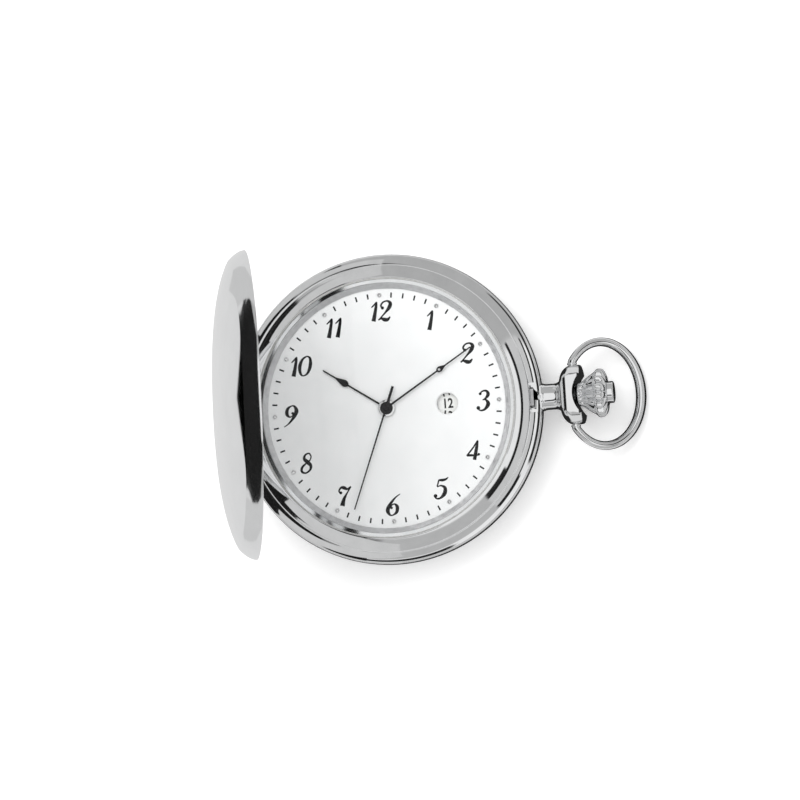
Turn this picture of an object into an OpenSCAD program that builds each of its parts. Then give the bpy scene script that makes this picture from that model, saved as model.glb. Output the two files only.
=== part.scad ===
// Full hunter pocket watch with a quartz calendar movement, lying on its back with the lid open.
// Millimetres. Origin: centre of the flat land on the back. +Z towards the reader, +X towards the
// crown at three o'clock, +Y towards twelve. Every size and place follows from the values below.

/* [Case] */
// Outside diameter of the case
case_d = 48.2; // [47:0.1:50]
// Height of the case's widest line, and of the crown's axis, above the rest face
axis_z = 5.2; // [5.1:0.05:5.4]
// Radial width of the middle case, from its outside to its bore
band_w = 2.7; // [2.6:0.05:2.9]
// Wall of the back cover
back_t = 0.6; // [0.5:0.05:0.7]
// Radius of the flat land on the back
back_flat_r = 9; // [7:0.5:11]
// Height of the back cover's rim above the rest face
back_rim_z = 3.2; // [3.1:0.05:3.3]

/* [Dial side] */
// Height of the dial's face above the widest line
dial_up = 2.9; // [2.8:0.05:3.1]
// Thickness of the dial
dial_t = 0.4; // [0.3:0.05:0.45]
// Radial width of the sloping ring between the dial and the crystal
dial_ring_w = 0.8; // [0.7:0.05:0.9]
// Distance of the minute track's middle inside the dial's visible edge
track_in = 1.03; // [0.9:0.01:1.1]
// Distance of the date window's middle inside the main plate's edge
date_in = 3.44; // [3.3:0.02:3.5]
// Radius of the date window
date_window_r = 1.65; // [1.4:0.05:1.7]
// Radial width of the bezel, from its foot to the crystal's edge
bezel_w = 2.4; // [2.3:0.05:2.5]
// Thickness of the crystal
crystal_t = 0.6; // [0.5:0.05:0.65]
// Rise of the crystal's middle over its edge
crystal_dome = 0.45; // [0.4:0.05:0.5]

/* [Lid] */
// Height of the lid's seat above the widest line
seat_up = 1.45; // [1.4:0.05:1.5]
// Height of the closed lid from its rim to its crown
lid_h = 5.65; // [5.55:0.05:6]
// Wall of the lid
lid_t = 0.5; // [0.4:0.05:0.55]
// Angle at which the lid stands open
lid_open = 76.2; // [60:0.1:80]
// Turn of the hinge from nine o'clock towards ten
hinge_turn = 1.04; // [0:0.01:1.5]
// Radius of the hinge barrel
barrel_r = 0.75; // [0.7:0.01:0.78]
// Radius of the hinge pin
hinge_pin_r = 0.3; // [0.25:0.01:0.35]

/* [Pendant, crown and bow] */
// Radius of the pendant's neck
neck_r = 2.15; // [2.1:0.05:2.4]
// Length of the neck outside the case
neck_l = 2.8; // [2.6:0.1:3]
// Half width of the pendant's collar
collar_r = 4.6; // [4.4:0.1:4.8]
// Radius of the crown over its flutes
crown_r = 3.77; // [3.5:0.01:3.9]
// Number of flutes round the crown
flutes = 14; // [12:1:18]
// Depth of the flutes as a share of the radius
flute_depth = 0.15; // [0.08:0.01:0.18]
// Half height of the bow over its outside
bow_half = 8.7; // [8.4:0.1:9]
// Reach of the bow beyond the case's outside when it is swung level
bow_reach = 16.4; // [16:0.1:17]
// Radius of the bow's wire at its sides
wire_r = 0.65; // [0.6:0.05:0.7]
// How much thicker the wire's radius is at the apex of the bow
wire_swell = 0.18; // [0:0.02:0.25]
// Travel of the crown when it is pressed to open the lid
push_travel = 0.6; // [0.4:0.1:0.6]
// Travel of the crown when it is pulled to set the hands
pull_travel = 1; // [0.8:0.1:1]

/* [Hands] */
// Turn of the hour hand from twelve
hour_angle = 304.6; // [0:0.1:360]
// Turn of the minute hand from twelve
minute_angle = 58.5; // [0:0.1:360]
// Turn of the seconds hand from twelve
seconds_angle = 201.2; // [0:0.1:360]
// Length of the hour hand
hour_l = 11.6; // [10:0.1:12]
// How far the minute hand ends short of the minute track's middle
minute_short = 1.47; // [1.2:0.01:2.4]
// How far the seconds hand ends short of the minute track's middle
seconds_short = 1.07; // [1:0.01:2]
// Thickness of a hand's blade
hand_t = 0.1; // [0.08:0.01:0.12]

/* [Movement] */
// Radius of the movement's main plate
plate_r = 12.9; // [12.8:0.05:13]
// Distance from the centre to the third wheel
third_d = 3.1; // [3:0.02:3.15]
// Distance from the centre to the minute wheel
minute_d = 2.6; // [2.5:0.02:2.7]
// Diameter of the button cell
cell_d = 9.5; // [9:0.1:9.5]
// Height of the button cell
cell_h = 2.05; // [1.6:0.05:2.1]
// Radius of the stem where it runs in the movement
stem_r = 0.6; // [0.5:0.05:0.65]
// Number of days on the date disc
days = 31; // [31:1:31]

/* [Hidden] */
$fn = 72;

// Clearances: a running fit, parts that only lie beside each other, and parts that pass each other
run = 0.04;
fit = 0.02;
pass = 0.1;

case_r = case_d / 2;
bore_r = case_r - band_w;
back_r = case_r - 0.5;
spigot_r = back_r - back_t - 0.5;
back_power = 2.25;

// Longer than anything that is cut through
through = 2 * case_r;

// The dial side, from the dial's face up to the crystal and the bezel
bezel_foot_z = axis_z + 2.2;
bezel_foot_r = case_r - 1.7;
crystal_r = bezel_foot_r - bezel_w;
crystal_seat_r = crystal_r - 0.6;
dial_open_r = crystal_seat_r - dial_ring_w;
track_r = dial_open_r - track_in;
minute_l = track_r - minute_short;
seconds_l = track_r - seconds_short;
dial_z = axis_z + dial_up;
dial_under = dial_z - dial_t;
dial_r = dial_open_r + 0.8;
flange_r = dial_r + 0.3;
flange_z = dial_z - 0.9;
flange_top = dial_z - 0.1;
crystal_z = dial_z + 0.9;
gasket_t = 0.18;
rebate_r = crystal_r + gasket_t + 2 * fit;
bezel_top_z = crystal_z + crystal_t - 0.12;
spigot_top_r = bezel_foot_r - 0.5;

// The lid: a skirt that leans in to the crease, then a dome of a rounded-square section
lid_z = axis_z + seat_up;
lid_r = case_r - 0.15;
crease_r = lid_r - 0.9;
crease_h = 1.35;
lid_power = 2.25;
hinge_r = case_r - 0.95;
hinge_half = sqrt(pow(lid_r, 2) - pow(hinge_r, 2)) + 0.1;
lid_knuckle_half = 2.6;
barrel_clear = 0.07;
arm_h = 0.9;
lug_h = 0.25;
nose_z = lid_z + 0.35;

// The pendant's parts along the crown's axis
spot_x = case_r - 0.4;
neck_end = case_r + neck_l - 0.1;
collar_l = 3.5;
bow_x = neck_end + 2.1;
scoop_r = 4.4;
scoop_x = neck_end + 2.25 + scoop_r;
crown_x = neck_end + 2.2;
crown_neck_r = 1.9;
crown_l = 5.2;
bush_r = 1.35;
sleeve_r = 0.98;
sleeve_bore = stem_r + run;
bush_x = bore_r - 0.15;
bow_pin_r = 0.5;
bow_pin_y = collar_r - 1.1;
bow_turn = 136;
bow_a = 6.9 - wire_r - wire_swell;
bow_b = bow_half - wire_r;
bow_cx = case_r + bow_reach - 6.9;
// The bow hangs from its pins until its apex nearly touches the table
bow_droop = asin((axis_z - 0.05 - 1.1 * (wire_r + wire_swell)) / (bow_cx + bow_a - bow_x));

// Heights in the movement, all measured from under the dial
disc_top = dial_under - 0.4;
disc_t = 0.2;
date_plate_z = dial_under - 0.3;
ledge_z = disc_top - disc_t - 0.03;
floor_z = dial_under - 1.5;
plate_z = dial_under - 2;
bridge_z = dial_under - 4.2;
bridge_t = 0.35;
seconds_z = plate_z - 0.95;
third_z = plate_z - 0.7;
centre_z = plate_z - 0.4;
inter_z = plate_z - 1.5;
wheel_t = 0.2;
minute_z = floor_z + 0.1;
hour_z = minute_z + 0.35;
date_pinion_z = hour_z + 0.25;
hour_hand_z = dial_z + 0.2;
minute_hand_z = hour_hand_z + 0.25;
seconds_hand_z = minute_hand_z + 0.23;

// Tooth counts of the going train, the motion work and the calendar
rotor_n = 12;
inter_n = 60;
inter_pinion_n = 10;
seconds_n = 60;
seconds_pinion_n = 8;
third_n = 60;
third_pinion_n = 8;
centre_n = 64;
cannon_n = 12;
minute_n = 36;
minute_pinion_n = 10;
hour_n = 40;
hour_pinion_n = 20;
date_n = 40;
setting_n = 24;

// Where the arbors stand: distance from the centre or from the wheel before, and direction
inter_d = 3.15;
inter_dir = 120;
rotor_d = 2.88;
rotor_dir = 80;
third_dir = -60;
minute_dir = -20;
setting_d = 3.25;
setting_dir = 7;
date_d = 4.25;
date_dir = 105;
date_r = plate_r - date_in;
inter_p = polar(inter_d, inter_dir);
rotor_p = inter_p + polar(rotor_d, rotor_dir);
third_p = polar(third_d, third_dir);
minute_p = polar(minute_d, minute_dir);
setting_p = minute_p + polar(setting_d, setting_dir);
date_p = polar(date_d, date_dir);
date_ring_r = date_r - 1.9;
date_ring_out = date_r + 1.85;
date_finger_r = date_ring_r - date_d - 0.16;
cell_p = polar(plate_r - cell_d / 2 - 0.25, -135);
screw_ps = [polar(plate_r - 1.3, 60), polar(plate_r - 1.5, 172), polar(plate_r - 5.3, -75)];
groove_x = plate_r - 2.4;
lever_p = [groove_x + 0.5, 3];
clutch_x = groove_x - 2.55;
clutch_r = 0.9;
yoke_p = [clutch_x + 0.65, 3.6];
coil_y = plate_r - 3.3;
coil_r = 1.1;
coil_l = 8;
coil_mid = -1.5;
lug_w = 1.4;
stator_z = plate_z - 0.8;
coil_z = stator_z - coil_r - 0.05;
board_z = plate_z - 0.45;
cell_z = plate_z - 0.05 - cell_h;
cell_posts = [polar(plate_r - 1, -95), polar(plate_r - 1, -175)];

// Screws round the movement, in the case's inner flange, and the feet of the two springs
ring_screw_ps = [polar(bore_r - 0.85, 90), polar(bore_r - 0.85, -90)];
lift_a = 151;
lock_a = -62;
lift_p = polar(bore_r - 0.75, lift_a);
lock_p = polar(bore_r - 0.75, lock_a);
spring_z = lid_z - 0.38;
lock_z = axis_z - 0.6;

function polar(r, a) = [r * cos(a), r * sin(a)];
function arc(c, r, a0, a1, n) = [for (i = [0:n]) c + polar(r, a0 + (a1 - a0) * i / n)];
// Points of a dome from its crown (r = r0) out to its edge (r = r1), rising h; power 2 is round
function dome(r0, r1, h, power, n) = [for (i = [0:n]) let (a = 90 - 90 * i / n)
    [r0 + (r1 - r0) * pow(cos(a), 2 / power), h * pow(sin(a), 2 / power)]];
function shifted(pts, dz) = [for (p = pts) [p[0], p[1] + dz]];
function flipped(pts) = [for (i = [len(pts) - 1:-1:0]) pts[i]];
// Angle of a wheel of nb teeth, in direction dir from a wheel of na teeth turned by a, in mesh
function meshed(a, na, nb, dir) = dir + 180 - 360 / nb * (0.5 - (dir - a) * na / 360);
// Module of two wheels in mesh at distance d
function module_of(d, na, nb) = 2 * d / (na + nb);

module at(p, z = 0) { translate([p[0], p[1], z]) children(); }
module along_x(x) { translate([x, 0, axis_z]) rotate([0, 90, 0]) children(); }
module ring(r, bore, h) {
    difference() {
        cylinder(r = r, h = h);
        translate([0, 0, -1]) cylinder(r = bore, h = h + 2);
    }
}
module tube_x(x0, x1, r, bore) { along_x(x0) ring(r, bore, x1 - x0); }
// The hinge's own frame: its axis along Y, at the place where the lid turns
module at_hinge() { rotate(-hinge_turn) translate([-hinge_r, 0, lid_z]) children(); }
module hinge_rod(y0, y1, r) { translate([0, y0, 0]) rotate([-90, 0, 0]) cylinder(r = r, h = y1 - y0); }
// Turns what is drawn closed to where it stands open
module opened() {
    at_hinge() rotate([0, -lid_open, 0]) translate([hinge_r, 0, -lid_z])
        rotate(hinge_turn) children();
}

// A wheel's outline: teeth with straight flanks, rounded off towards their tips
module wheel_2d(n, m) {
    r = m * n / 2;
    step = 360 / n;
    polygon([for (i = [0:n - 1], k = [[-0.29, -1.2], [-0.2, 0], [-0.09, 0.8],
        [0.09, 0.8], [0.2, 0], [0.29, -1.2]]) polar(r + k[1] * m, (i + k[0]) * step)]);
}
module wheel(n, m, z, t, angle, bore = 0) {
    translate([0, 0, z]) rotate(angle) linear_extrude(t) difference() {
        wheel_2d(n, m);
        if (bore > 0) circle(r = bore);
    }
}
// A wheel with crossings, as pressed wheels have: spokes from the hub to the rim
module crossed_wheel(n, m, z, t, angle, hub, spokes = 4) {
    r = m * n / 2;
    rim = r - 1.2 * m - 0.3;
    translate([0, 0, z]) rotate(angle) linear_extrude(t) {
        difference() {
            wheel_2d(n, m);
            circle(r = rim);
        }
        circle(r = hub);
        for (i = [0:spokes - 1]) rotate(360 / spokes * i) translate([hub / 2, -0.14])
            square([rim - hub / 2 + 0.1, 0.28]);
    }
}
module arbor(z0, z1, r) { translate([0, 0, z0]) cylinder(r = r, h = z1 - z0, $fn = 24); }
module screw(p, z_head, head_r, head_h, r, l) {
    at(p, z_head) difference() {
        union() {
            translate([0, 0, -head_h]) cylinder(r = head_r, h = head_h, $fn = 32);
            cylinder(r = r, h = l, $fn = 24);
        }
        translate([-head_r - 1, -0.12, -head_h - 1]) cube([2 * head_r + 2, 0.24, 1.15]);
    }
}

// Outline of the middle case's outside, from its foot up to its top, rounded like a tyre
function band_outside() = concat(
    [[back_r, back_rim_z + fit]],
    [for (i = [1:6]) let (t = i / 7) [case_r - (case_r - back_r) * pow(1 - t, 2),
        back_rim_z + (axis_z - back_rim_z) * t]],
    [[case_r, axis_z]],
    [for (i = [1:4]) let (t = i / 5) [case_r - 0.15 * t * t, axis_z + (seat_up - 0.05) * t]],
    [[lid_r, lid_z - 0.05]]);

module middle_case() {
    collar_r0 = lid_r - lid_t - 0.35;
    color("gainsboro") difference() {
        rotate_extrude($fn = 144) polygon(concat(
            [[bore_r, back_rim_z - 0.8], [spigot_r, back_rim_z - 0.8], [spigot_r, back_rim_z + fit]],
            band_outside(),
            [[collar_r0, lid_z - 0.05]],
            [for (i = [1:5]) let (a = 90 * i / 6) [bezel_foot_r + (collar_r0 - bezel_foot_r) * cos(a),
                lid_z - 0.05 + (bezel_foot_z - lid_z + 0.05) * sin(a)]],
            [[bezel_foot_r, bezel_foot_z], [spigot_top_r, bezel_foot_z], [spigot_top_r, flange_top],
            [flange_r, flange_top], [flange_r, flange_z], [bore_r, flange_z]]));
        // Seat of the hinge barrel, cut through to the outside, with the lift spring's slot
        at_hinge() {
            translate([-5, -hinge_half - fit, -barrel_r - 0.05])
                cube([5 + barrel_r + 0.05, 2 * (hinge_half + fit), 3]);
            translate([0, -1, -0.95]) cube([3, 2, 1.6]);
            translate([0, -1, -0.95]) cube([1.18, 2, 2]);
        }
        // Pocket for the lid's catch lug and the slot of the catch nose
        translate([lid_r - lid_t - 1.15, -2.3, lid_z - 0.1]) cube([4, 4.6, 1]);
        translate([bore_r - 2, -1.9, nose_z - 0.06]) cube([4, 3.8, 0.37]);
        // Seat and bore of the pendant's neck
        along_x(spot_x) cylinder(r = neck_r + fit, h = 2);
        along_x(bore_r - 1) cylinder(r = bush_r + run, h = 5);
        for (p = ring_screw_ps) at(p, flange_z - 1) cylinder(r = 0.42, h = 1.7, $fn = 24);
        for (p = [lift_p, lock_p]) at(p, flange_z - 1) cylinder(r = 0.37, h = 1.5, $fn = 24);
        // Thumb notch under which the back is lifted off
        rotate(225) translate([back_r - 0.35, -1.5, back_rim_z - 1]) cube([2, 3, 1.35]);
    }
}

module bezel() {
    lip_r = crystal_seat_r + 0.05;
    color("gainsboro") rotate_extrude($fn = 144) polygon(concat(
        [[spigot_top_r + fit, bezel_foot_z + fit], [bezel_foot_r, bezel_foot_z + fit],
        [bezel_foot_r - 0.06, bezel_foot_z + 0.3], [bezel_foot_r - 0.2, bezel_foot_z + 0.68]],
        arc([bezel_foot_r - 0.62, bezel_foot_z + 0.6], 0.42, 10, 55, 4),
        [[rebate_r + 0.12, bezel_top_z], [rebate_r + 0.04, bezel_top_z + 0.01], [rebate_r, bezel_top_z - 0.04],
        [rebate_r, crystal_z - fit], [lip_r, crystal_z - fit], [lip_r, crystal_z - 0.38],
        [rebate_r + 0.8, crystal_z - 0.38], [rebate_r + 0.8, flange_top + 0.05],
        [spigot_top_r + fit, flange_top + 0.05]]));
}

module crystal() {
    n = 12;
    color("lightcyan", 0.3) rotate_extrude($fn = 144) polygon(concat(
        [[0, crystal_z + crystal_dome]],
        [for (i = [1:n]) let (r = crystal_seat_r * i / n)
            [r, crystal_z + crystal_dome * (1 - pow(i / n, 2))]],
        [[crystal_r, crystal_z], [crystal_r, crystal_z + crystal_t - 0.12],
        [crystal_r - 0.12, crystal_z + crystal_t]],
        [for (i = [n:-1:0]) let (r = (crystal_r - 0.4) * i / n)
            [r, crystal_z + crystal_t + crystal_dome * (1 - pow(i / n, 2))]]));
}

module crystal_gasket() {
    color("ivory") translate([0, 0, crystal_z + fit])
        ring(crystal_r + fit + gasket_t, crystal_r + fit, crystal_t - 0.16);
}

// The sloping ring between the dial and the crystal
module dial_ring() {
    wall = crystal_seat_r;
    color("silver") rotate_extrude($fn = 144) polygon([
        [dial_open_r, dial_z + fit], [rebate_r + 0.7, dial_z + fit], [rebate_r + 0.7, dial_z + 0.2],
        [wall, dial_z + 0.2], [wall, crystal_z - 0.05], [wall - 0.12, crystal_z - 0.05],
        [dial_open_r, dial_z + 0.16]]);
}

module dial() {
    color("white") {
        difference() {
            at([0, 0], dial_under) cylinder(r = dial_r, h = dial_t, $fn = 144);
            at([0, 0], dial_under - 1) cylinder(r = 1.3, h = 3);
            at([date_r, 0], dial_under - 1) cylinder(r = date_window_r, h = 3);
            // The window's edge is bevelled on the face
            at([date_r, 0], dial_z - 0.15)
                cylinder(r1 = date_window_r, r2 = date_window_r + 0.16, h = 0.16);
        }
        for (a = [80, 255]) at(polar(plate_r - 0.65, a), dial_under - 1.2)
            cylinder(r = 0.35, h = 1.2, $fn = 24);
    }
}

// Polished studs at each five minutes, riveted in the dial
module hour_studs() {
    color("silver") for (i = [0:11]) at(polar(track_r, 30 * i), dial_z + fit) difference() {
        translate([0, 0, -0.12]) sphere(r = 0.42, $fn = 24);
        translate([0, 0, -2]) cube([4, 4, 4], center = true);
    }
}

module back_cover() {
    n = 12;
    outer = dome(back_flat_r, back_r, back_rim_z, back_power, n);
    inner = dome(back_flat_r - 0.3, back_r - back_t, back_rim_z - back_t, back_power, n);
    color("gainsboro") difference() {
        rotate_extrude($fn = 144) polygon(concat(
            [[0, 0]], [for (p = outer) [p[0], back_rim_z - p[1]]],
            [for (p = flipped(inner)) [p[0], back_rim_z - p[1]]], [[0, back_t]]));
        rotate(225) translate([back_r - 0.35, -1.5, back_rim_z - 0.35]) cube([2, 3, 1]);
    }
}

module back_gasket() {
    color("dimgray") translate([0, 0, back_rim_z - 0.45])
        ring(spigot_r + 0.3, spigot_r + fit, 0.3);
}

module case_knuckles() {
    color("gainsboro") at_hinge() for (s = [-1, 1]) difference() {
        y0 = lid_knuckle_half + 0.06;
        union() {
            if (s > 0) hinge_rod(y0, hinge_half, barrel_r);
            else hinge_rod(-hinge_half, -y0, barrel_r);
            // Solder foot that seats the barrel in its notch
            translate([-0.45, s > 0 ? y0 : -hinge_half, -barrel_r - 0.04])
                cube([0.45 + barrel_r + 0.03, hinge_half - y0, barrel_r]);
        }
        hinge_rod(-hinge_half - 1, hinge_half + 1, hinge_pin_r + 0.01);
    }
}

module hinge_pin() {
    color("silver") at_hinge() hinge_rod(-hinge_half, hinge_half, hinge_pin_r);
}

module lid() {
    n = 14;
    top = lid_z + crease_h;
    outer = shifted(dome(0, crease_r, lid_h - crease_h, lid_power, n), top);
    inner = shifted(dome(0, crease_r - lid_t, lid_h - crease_h - lid_t, lid_power, n), top);
    color("gainsboro") opened() difference() {
        rotate_extrude($fn = 144) polygon(concat(outer, [[lid_r - 0.04, lid_z + 0.1], [lid_r - 0.02, lid_z],
            [lid_r - lid_t - 0.1, lid_z]], flipped(inner)));
        at_hinge() {
            hinge_rod(-hinge_half - fit, hinge_half + fit, barrel_r + barrel_clear);
            translate([-1.5, -lid_knuckle_half - fit, -1])
                cube([2.2, 2 * (lid_knuckle_half + fit), 1 + arm_h + fit]);
        }
    }
}

module lid_knuckle() {
    color("gainsboro") opened() at_hinge() difference() {
        union() {
            hinge_rod(-lid_knuckle_half, lid_knuckle_half, barrel_r);
            translate([-0.15, -lid_knuckle_half, 0]) cube([0.6, 2 * lid_knuckle_half, arm_h]);
            // Tail that the lift spring pushes up
            rotate([0, 15, 0]) translate([0.5, -0.8, -0.15]) cube([0.5, 1.6, 0.3]);
        }
        hinge_rod(-lid_knuckle_half - 1, lid_knuckle_half + 1, hinge_pin_r + run);
    }
}

// Lug inside the lid's rim, under which the catch nose snaps
module lid_catch_lug() {
    color("silver") opened() intersection() {
        translate([lid_r - 1.45, -2, lid_z + 0.03]) cube([2, 4, lug_h]);
        cylinder(r = lid_r - lid_t - 0.32, h = through);
    }
}

// Flat spring that lifts the lid once the catch is free
module lift_spring() {
    r0 = bore_r - 1.05;
    color("lightsteelblue") difference() {
        union() {
            translate([0, 0, spring_z]) rotate(lift_a) rotate_extrude(angle = 180 - hinge_turn - lift_a, $fn = 144)
                translate([r0, 0]) square([0.7, 0.15]);
            at_hinge() translate([0.8, -0.7, -0.38]) cube([1.7, 1.4, 0.15]);
            at(lift_p, spring_z) cylinder(r = 0.68, h = 0.33, $fn = 32);
        }
        at(lift_p, spring_z - 1) cylinder(r = 0.37, h = 3, $fn = 24);
    }
}

// Upright spring along the band: its fork stands round the stem and its nose holds the lid
module lock_spring() {
    plate_x = bush_x - 0.5;
    color("lightsteelblue") difference() {
        union() {
            rotate(lock_a) rotate_extrude(angle = -lock_a - 4, $fn = 144)
                translate([bore_r - 0.45, lock_z + 0.03]) square([0.25, 1.4]);
            translate([plate_x, -2, axis_z - 1.6]) cube([0.45, 4, 1.52 + flange_z - axis_z]);
            translate([plate_x, -1.3, nose_z]) cube([lid_r - 1.1 - plate_x, 2.6, lug_h]);
            at(lock_p, lock_z) cylinder(r = 0.68, h = spring_z + 0.33 - lock_z, $fn = 32);
        }
        at(lock_p, lock_z - 1) cylinder(r = 0.37, h = 5, $fn = 24);
        translate([plate_x - 1, -1.05, axis_z - 2]) cube([3, 2.1, 3.05]);
    }
}

module spring_screws() {
    color("steelblue") {
        screw(lift_p, spring_z - fit, 0.6, 0.3, 0.33, 1.3);
        screw(lock_p, lock_z - fit, 0.6, 0.3, 0.33, flange_z - lock_z + 0.4);
    }
}

module pendant_neck() {
    color("gainsboro") difference() {
        along_x(0) rotate_extrude() polygon([[bush_r + run, spot_x + fit],
            [neck_r, spot_x + fit], [neck_r, case_r + 0.1], [neck_r - 0.12, case_r + 0.5],
            [neck_r - 0.12, neck_end - 0.7], [neck_r + 0.05, neck_end - 0.25], [neck_r + 0.2, neck_end],
            [bush_r + run, neck_end]]);
        // Step that lets the closed lid's skirt pass
        translate([0, 0, lid_z - 0.08]) cylinder(r = lid_r + 0.08, h = neck_r, $fn = 144);
    }
}

module pendant_collar() {
    x0 = neck_end + fit;
    color("gainsboro") difference() {
        intersection() {
            along_x(0) rotate_extrude($fn = 96) polygon(concat(
                [[bush_r + run, x0], [neck_r - 0.05, x0]],
                [for (i = [1:8]) let (a = 90 * i / 8)
                    [neck_r - 0.05 + (collar_r - neck_r + 0.05) * sin(a), x0 + 2 * (1 - cos(a))]],
                [[collar_r, x0 + collar_l - 0.7], [collar_r - 0.12, x0 + collar_l - 0.25],
                [collar_r - 0.4, x0 + collar_l],
                [bush_r + run, x0 + collar_l]]));
            translate([neck_end + 2, -collar_r - 1, axis_z]) rotate([-90, 0, 0])
                cylinder(r = collar_r - 1, h = 2 * collar_r + 2);
        }
        translate([scoop_x, 0, axis_z - collar_r]) cylinder(r = scoop_r, h = 2 * collar_r, $fn = 96);
        along_x(crown_x - 1.2) cylinder(r1 = bush_r + run, r2 = 2.05, h = 1.7);
        translate([bow_x, -collar_r - 1, axis_z]) rotate([-90, 0, 0])
            cylinder(r = bow_pin_r + run, h = 2 * collar_r + 2, $fn = 48);
    }
}

// Skins a row of rings of points; each ring runs from +Y to +Z as seen against the row
module loft(rings) {
    m = len(rings[0]);
    n = len(rings);
    polyhedron(points = [for (g = rings, p = g) p], faces = concat([[for (j = [0:m - 1]) j]],
        [for (k = [0:n - 2], j = [0:m - 1]) [k * m + j, (k + 1) * m + j, k * m + (j + 1) % m]],
        [for (k = [0:n - 2], j = [0:m - 1])
            [(k + 1) * m + j, (k + 1) * m + (j + 1) % m, k * m + (j + 1) % m]],
        [[for (j = [m - 1:-1:0]) (n - 1) * m + j]]));
}

module bow() {
    n = 36;
    m = 14;
    path = concat([[bow_x, -collar_r - 0.1], [bow_x, -collar_r - 0.5]],
        [for (i = [0:n]) let (t = -bow_turn + 2 * bow_turn * i / n) [bow_cx + bow_a * cos(t), bow_b * sin(t)]],
        [[bow_x, collar_r + 0.5], [bow_x, collar_r + 0.1]]);
    last = len(path) - 1;
    rings = [for (k = [0:last])
        let (a = path[max(k - 1, 0)], b = path[min(k + 1, last)], d = (b - a) / norm(b - a),
            share = pow(cos(bow_turn * (2 * k / last - 1) / 1.4), 2), r = wire_r + wire_swell * share)
        [for (j = [0:m - 1]) let (f = 360 * j / m + 90, w = r * cos(f),
            h = r * sin(f) * (1 + 0.1 * pow(abs(sin(f)), 8)))
            [path[k][0] - bow_x - d[1] * w, path[k][1] + d[0] * w, h]]];
    color("gainsboro") translate([bow_x, 0, axis_z]) rotate([0, bow_droop, 0]) {
        loft(rings);
        for (s = [-1, 1]) rotate([s * -90, 0, 0]) {
            translate([0, 0, bow_pin_y]) cylinder(r = bow_pin_r, h = 1.6, $fn = 48);
            translate([0, 0, collar_r + 0.08]) cylinder(r = wire_r + 0.1, h = 0.3, $fn = 48);
        }
    }
}

module release_bush() {
    color("silver") tube_x(bush_x, crown_x - 0.12, bush_r, sleeve_r + run);
}

module stem_sleeve() {
    color("silver") tube_x(bore_r + 0.9, crown_x - 0.32, sleeve_r, sleeve_bore);
}

// Fluted crown: smooth neck, flutes that widen to a round shoulder, and a seat for its cap
module crown() {
    // Distance from the foot, radius and share of the flutes' depth, ring by ring
    shape = [[0, 1, 0], [0.25, 1.42, 0], [0.65, 1.76, 0], [1.05, crown_neck_r, 0.4], [1.5, 2.12, 1],
        [2.1, 2.6, 1], [2.7, 3, 1], [3.2, 3.3, 1], [3.5, 3.62, 1], [3.8, crown_r, 1], [4.4, crown_r - 0.05, 1],
        [4.75, 3.5, 1], [5, 3.02, 1], [5.14, 2.55, 0.8], [crown_l, 2.1, 0.4], [crown_l, 1.74, 0]];
    m = flutes * 6;
    color("gainsboro") difference() {
        loft([for (g = shape) [for (j = [0:m - 1]) let (f = 360 * j / m,
            r = g[1] * (1 - flute_depth * g[2] * (1 - abs(cos(f * flutes / 2)))))
            [crown_x + g[0], r * cos(f), axis_z + r * sin(f)]]]);
        along_x(crown_x - 1) cylinder(r = stem_r + fit, h = 3.6, $fn = 36);
    }
}

module crown_cap() {
    x0 = crown_x + crown_l + fit;
    color("gainsboro") along_x(0) rotate_extrude() polygon(concat([[0, x0], [1.7, x0], [1.7, x0 + 0.6]],
        arc([1.4, x0 + 0.6], 0.3, 15, 75, 4), [[0.8, x0 + 0.95], [0, x0 + 0.97]]));
}

module stem() {
    color("silver") difference() {
        along_x(clutch_x - 0.6) cylinder(r = stem_r, h = crown_x + 3.1 - clutch_x, $fn = 36);
        // Flats of the clutch's square and the setting lever's groove
        for (k = [0:3]) along_x(clutch_x - 1) rotate(90 * k)
            translate([0.42, -1, 0]) cube([1, 2, 3.1]);
        along_x(groove_x - 0.3) ring(1, 0.38, 0.65 + push_travel);
    }
}

module movement_ring() {
    color("whitesmoke") difference() {
        rotate_extrude($fn = 144) polygon([[plate_r + 0.1, bridge_z + 0.1], [bore_r - 1.9, bridge_z + 0.1],
            [bore_r - 1.9, lid_z], [bore_r - 0.2, lid_z], [bore_r - 0.2, flange_z - 0.05],
            [flange_r - 0.2, flange_z - 0.05], [flange_r - 0.2, dial_under - fit],
            [plate_r + 0.1, dial_under - fit]]);
        along_x(plate_r - 1) cylinder(r = stem_r + 0.15, h = through);
        translate([bore_r - 1.35, -2.7, 0]) cube([5, 5.4, through]);
        at_hinge() translate([0.5, -1.2, -2]) cube([2.9, 2.4, 4]);
        for (p = ring_screw_ps) at(p) cylinder(r = 0.45, h = through, $fn = 24);
        for (p = [lift_p, lock_p]) at(p) cylinder(r = 0.42, h = through, $fn = 24);
    }
}

module ring_screws() {
    color("steelblue") for (p = ring_screw_ps) screw(p, lid_z - fit, 0.7, 0.35, 0.38, 1.2);
}

// A bar between two points with round ends
module bar_2d(p, q, w) {
    d = q - p;
    translate(p) rotate(atan2(d[1], d[0])) {
        translate([0, -w / 2]) square([norm(d), w]);
        circle(r = w / 2, $fn = 32);
        translate([norm(d), 0]) circle(r = w / 2, $fn = 32);
    }
}

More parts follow.
